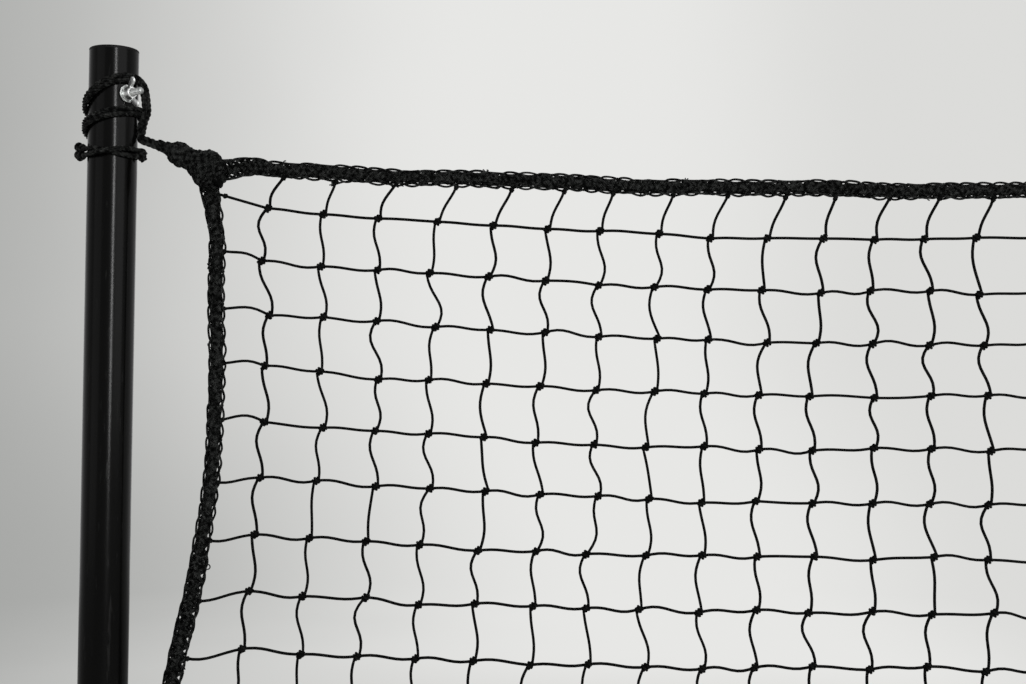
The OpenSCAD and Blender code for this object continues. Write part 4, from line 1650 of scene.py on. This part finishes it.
@dataclass
class CastWingNut(Fastener):
    """Cast wing nut: a waisted hub with two thin wings that end in round ears."""

    seat: float = 23.925 * MM
    bore: float = 3.38 * MM
    hub_r: float = 6 * MM
    hub_height: float = 8 * MM
    ear: tuple = (10.5 * MM, 10.8 * MM)
    ear_r: float = 3.4 * MM
    ear_edge: float = 0.45 * MM
    wing_thick: float = 1.7 * MM
    root_thick: float = 3 * MM
    rest: float = radians(12)
    voxel: float = 0.42 * MM
    smoothings: int = 3

    def wing(self, side: int) -> BMesh:
        """Make a blade out of the hub, hulled onto its ear with a rounded rim.

        Args:
            side: 1 or -1.

        Returns:
            The closed solid.
        """
        blade, lying = bmesh.new(), Matrix.Rotation(pi / 2, 4, "X")
        for low, high, r, thick in ((1.6, 6.9, 4.7, 1.0), (2.4, 6.2, 6.6, 0.82)):
            for z in (low, high):
                for y in (-0.5, 0.5):
                    blade.verts.new((r * MM, y * self.root_thick * thick, z * MM))
        rim = self.ear_r - self.ear_edge
        for y, radius in ((-0.5, rim), (-0.25, self.ear_r), (0.5, rim), (0.25, self.ear_r)):
            flat = Matrix.Translation((self.ear[0], y * self.wing_thick, self.ear[1])) @ lying
            bmesh.ops.create_circle(blade, cap_ends=False, segments=24, radius=radius, matrix=flat)
        bmesh.ops.convex_hull(blade, input=blade.verts)
        bmesh.ops.delete(blade, geom=[v for v in blade.verts if not v.link_faces], context="VERTS")
        if side < 0:
            bmesh.ops.rotate(blade, verts=blade.verts, cent=(0, 0, 0), matrix=Matrix.Rotation(pi, 3, "Z"))
        return blade

    def build(self) -> None:
        """Make the nut, tight on its washer: hub and wings under one smoothed skin."""
        made, top, r = bmesh.new(), self.hub_height, self.hub_r
        hub = [(self.bore, 0), (r - 0.3 * MM, 0), (r, 0.5 * MM), (r, 2.4 * MM), (r - 0.35 * MM, 3.2 * MM)]
        wind(made, [*hub, (r - 0.9 * MM, top - 0.7 * MM), (r - 1.4 * MM, top), (self.bore, top)], 40)
        bmesh.ops.recalc_face_normals(made, faces=made.faces)
        for side in (1, -1):
            pour(self.wing(side), made)
        rough = bpy.data.objects.new("nut_rough", as_mesh("nut_rough", made))
        skin = rough.modifiers.new("cast", "REMESH")
        skin.mode, skin.voxel_size = "VOXEL", self.voxel
        cast, mesh = bmesh.new(), shown(rough)
        cast.from_mesh(mesh)
        bpy.data.meshes.remove(mesh)
        axes = {f"use_axis_{axis}": True for axis in "xyz"}
        for _ in range(self.smoothings):
            bmesh.ops.smooth_vert(cast, verts=cast.verts, factor=0.5, **axes)
        turned = Matrix.Rotation(self.rest * self.site.wing_side, 4, "Z")
        seated = self.place @ Matrix.Translation(UP * self.seat) @ turned
        bmesh.ops.transform(cast, matrix=seated, verts=cast.verts)
        name = f"wing_nut_{self.site.value}"
        self.settle(f"{name}_cast", as_mesh(f"{name}_cast", cast, True), Slot.WING, name, name)


# ---- strike zone


class Strap(Enum):
    """The four straps of the strike zone."""

    TOP = "top"
    BOTTOM = "bottom"
    LEFT = "left"
    RIGHT = "right"

    @property
    def node(self) -> str:
        """Its CAD node."""
        return f"zone_strap_{self.value}"

    @property
    def corners(self) -> tuple[Vector, Vector]:
        """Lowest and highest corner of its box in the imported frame."""
        low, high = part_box(self.node)
        return Vector(low), Vector(high)

    @property
    def box(self) -> tuple[Vector, Vector]:
        """Size and middle of its box."""
        low, high = self.corners
        return high - low, (low + high) / 2

    @property
    def axes(self) -> tuple[Vector, Vector]:
        """Directions along and across it."""
        return (RIGHT, UP) if self in (Strap.TOP, Strap.BOTTOM) else (UP, RIGHT)


@dataclass
class StrikeZone(SubAssembly):
    """Strike zone of four webbing straps, sewn at the corners and tied to the meshes."""

    net: KnottedNet
    ripple: float = 0.35 * MM
    weave_step: float = 5 * MM
    edge: float = 0.3 * MM
    sharp: float = 50
    stitch: float = 3.2 * MM
    sewn: float = 8 * MM
    thread_r: float = 0.32 * MM
    thread_lay: float = 2 * MM
    tie_r: float = 0.95 * MM
    tie_lay: float = 4 * MM
    tie_step: float = 1.4 * MM
    tie_squareness: float = 0.45
    tie_off: float = 15 * MM
    tie_end: float = 30 * MM
    bow: Coil = Coil(3.4 * MM, 1.5 * MM, 1.5, 1, 15)

    def __post_init__(self) -> None:
        """Seed what is uneven."""
        self.rand = random.Random("strike zone")

    def webbing(self, strap: Strap) -> None:
        """Weave one strap: a rippled strip with rounded selvedges and turned ends.

        Args:
            strap: The strap.
        """
        (size, middle), (along, across) = strap.box, strap.axes
        length, width = size.dot(along), size.dot(across)
        first, second, _ = (self.rand.uniform(0, 6.28) for _ in range(3))
        strip = bmesh.new()
        bmesh.ops.create_grid(strip, x_segments=int(length / self.weave_step), y_segments=8, size=0.5)
        bmesh.ops.scale(strip, verts=strip.verts, vec=(length, width, 1))
        layer = strip.loops.layers.uv.new("UVMap")
        for vert in strip.verts:
            x, y = vert.co.xy
            wave = sin(38 * x + first) + 0.6 * sin(71 * x + 9 * y + second)
            vert.co.z = self.ripple * wave * 0.5 - 0.25 * MM * (abs(y) / (width / 2)) ** 6
            for loop in vert.link_loops:
                loop[layer].uv = x, y
        bmesh.ops.solidify(strip, geom=strip.faces[:], thickness=size.y * 0.52)
        bmesh.ops.recalc_face_normals(strip, faces=strip.faces)
        rim = [edge for edge in strip.edges if len(edge.link_faces) == 2 and edge.calc_face_angle(0) > 1]
        bevel(strip, rim, self.edge, 2)
        low, high = (pick(vert.co.z for vert in strip.verts) for pick in (min, max))
        bmesh.ops.translate(strip, verts=strip.verts, vec=-UP * (low + high) / 2)
        turned = Matrix.Rotation(pi / 2, 4, "X")
        if along == UP:
            turned = Matrix.Rotation(pi / 2, 4, "Y") @ turned
        bmesh.ops.transform(strip, matrix=Matrix.Translation(middle) @ turned, verts=strip.verts)
        mesh = as_mesh(f"{strap.node}_webbing", strip, True)
        sharpen(mesh, self.sharp)
        self.settle(f"{strap.node}_webbing", mesh, Slot.WEBBING, strap.node)

    def seam(self, start: Vector, end: Vector, front: float) -> list[Line]:
        """Stitches from one point to another, each a short arch of thread.

        Args:
            start: First point.
            end: Last point.
            front: The y of the strap's face.

        Returns:
            One line for each stitch.
        """
        count, stitches = max(1, int((end - start).length / self.stitch)), []
        for n in range(count):
            a, b = start.lerp(end, (n + 0.12) / count), start.lerp(end, (n + 0.88) / count)
            arch = ((a, 0.5), (a.lerp(b, 0.2), -0.1), (a.lerp(b, 0.8), -0.1), (b, 0.5))
            stitches.append([Vector((p.x, front + dip * MM, p.z)) for p, dip in arch])
        return stitches

    def sewing(self) -> list[Line]:
        """Sew a square and a cross where two straps overlap, at all four corners.

        Returns:
            The stitches' centre lines.
        """
        lines, half, signs = [], self.sewn, ((-1, -1), (1, -1), (1, 1), (-1, 1))
        for upright in (Strap.LEFT, Strap.RIGHT):
            for level in (Strap.TOP, Strap.BOTTOM):
                (u_low, u_high), (l_low, l_high) = upright.corners, level.corners
                x, z = (u_low.x + u_high.x) / 2, (l_low.z + l_high.z) / 2
                square = [Vector((x + sx * half, 0, z + sz * half)) for sx, sz in signs]
                for a, b in ((0, 1), (1, 2), (2, 3), (3, 0), (0, 2), (1, 3)):
                    lines += self.seam(square[a], square[b], l_low.y)
        return lines

    def tie(self, knot: Vector, strap: Strap) -> list[Line]:
        """Twine tie round a strap and the crossing behind it, with its knot and two ends in front.

        Args:
            knot: The crossing behind the strap.
            strap: The strap.

        Returns:
            The centre lines of the tie's loop, its knot and its ends.
        """
        (size, middle), (along, across), rand = strap.box, strap.axes, self.rand
        centre = along * knot.dot(along) + across * middle.dot(across)
        half = size.dot(across) / 2 + self.tie_r
        front = middle.y - size.y / 2 - self.tie_r
        back = max(middle.y + size.y / 2, knot.y + 2.4 * MM) + self.tie_r
        skew, loop = rand.uniform(2, 4.5) * MM, []
        for n in range(17):
            turn = TURN * n / 16
            reach, depth = (copysign(abs(f(turn)) ** self.tie_squareness, f(turn)) for f in (cos, sin))
            y = (front + back) / 2 + (back - front) / 2 * depth
            loop.append(centre + (across * half + along * skew) * reach - FRONT * y)
        start = centre - FRONT * (front - 0.7 * MM) + across * rand.uniform(-3, 3) * MM
        lines = [loop, self.bow.line(start + FRONT * 0.6 * MM, along, across, FRONT * 0.4)]
        for bend, lift, reach, drop in ((5, 1.2, 8.5, -3), (-5, 1, -8, -3.5)):
            bent = start + (along * bend + FRONT * lift) * MM
            lines.append([start, bent, start + (along * reach + across * drop) * MM])
        return [rounded_line(line, self.tie_step, 1) for line in lines]

    def ties(self) -> list[Line]:
        """Tie every crossing behind the four straps.

        Returns:
            The ties' centre lines.
        """
        lines = []
        for strap in Strap:
            (size, middle), (along, across) = strap.box, strap.axes
            reach = size.dot(along) / 2 - self.tie_end
            for knot in self.net.knots.values():
                off = knot - middle
                if abs(off.dot(across)) < self.tie_off and abs(off.dot(along)) < reach:
                    lines += self.tie(knot, strap)
        return lines

    def build(self) -> None:
        """Make the straps, their sewing and their ties."""
        for strap in Strap:
            self.webbing(strap)
        self.cords("zone_stitching", self.sewing(), Slot.TWINE, self.thread_r, self.thread_lay, fine=0)
        self.cords("zone_ties", self.ties(), Slot.TWINE, self.tie_r, self.tie_lay)


# ---- the object


@dataclass
class PitchingTargetNet:
    """The whole object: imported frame, hardware, ropes, net and strike zone."""

    packed: dict
    bolt_turn: float = radians(42)

    def dress_frame(self, finishes: dict[Slot, Material]) -> None:
        """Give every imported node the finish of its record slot.

        Args:
            finishes: The material of each slot.
        """
        for part in self.packed["record"]["subparts"]:
            node = self.packed["nodes"][part["node"]]
            if not node.material_slots:
                node.data.materials.append(None)
            for holder in node.material_slots:
                holder.material = finishes[Slot(part["material_slot"])]
        LOG.info("dressed %d packed nodes", len(self.packed["nodes"]))

    def build(self) -> None:
        """Build every sub-assembly in order."""
        hang, looks = Hang(), finishes()
        kit = (hang, looks)
        self.dress_frame(looks)
        net = KnottedNet(*kit)
        net.build()
        StrikeZone(*kit, net).build()
        for edge in Edge:
            KnittedBorder(*kit, edge).build()
        for right in (False, True):
            for low in (False, True):
                knot = CornerKnot(*kit, Corner(hang, right, low))
                knot.build()
                Lashing(*kit, knot).build()
            SideTie(*kit, right).build()
        for site in BoltSite:
            place = site.place(hang.upright_x, self.bolt_turn)
            ThreadedBolt(*kit, site, place).build()
            CastWingNut(*kit, site, place).build()


def write_sizes() -> None:
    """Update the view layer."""
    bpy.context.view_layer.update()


def main() -> None:
    """Build the studio and the object, and report each piece."""
    logging.basicConfig(level=logging.INFO, format="%(name)s: %(message)s")
    Studio().build()
    PitchingTargetNet(frame).build()
    write_sizes()


if __name__ == "__main__":
    main()
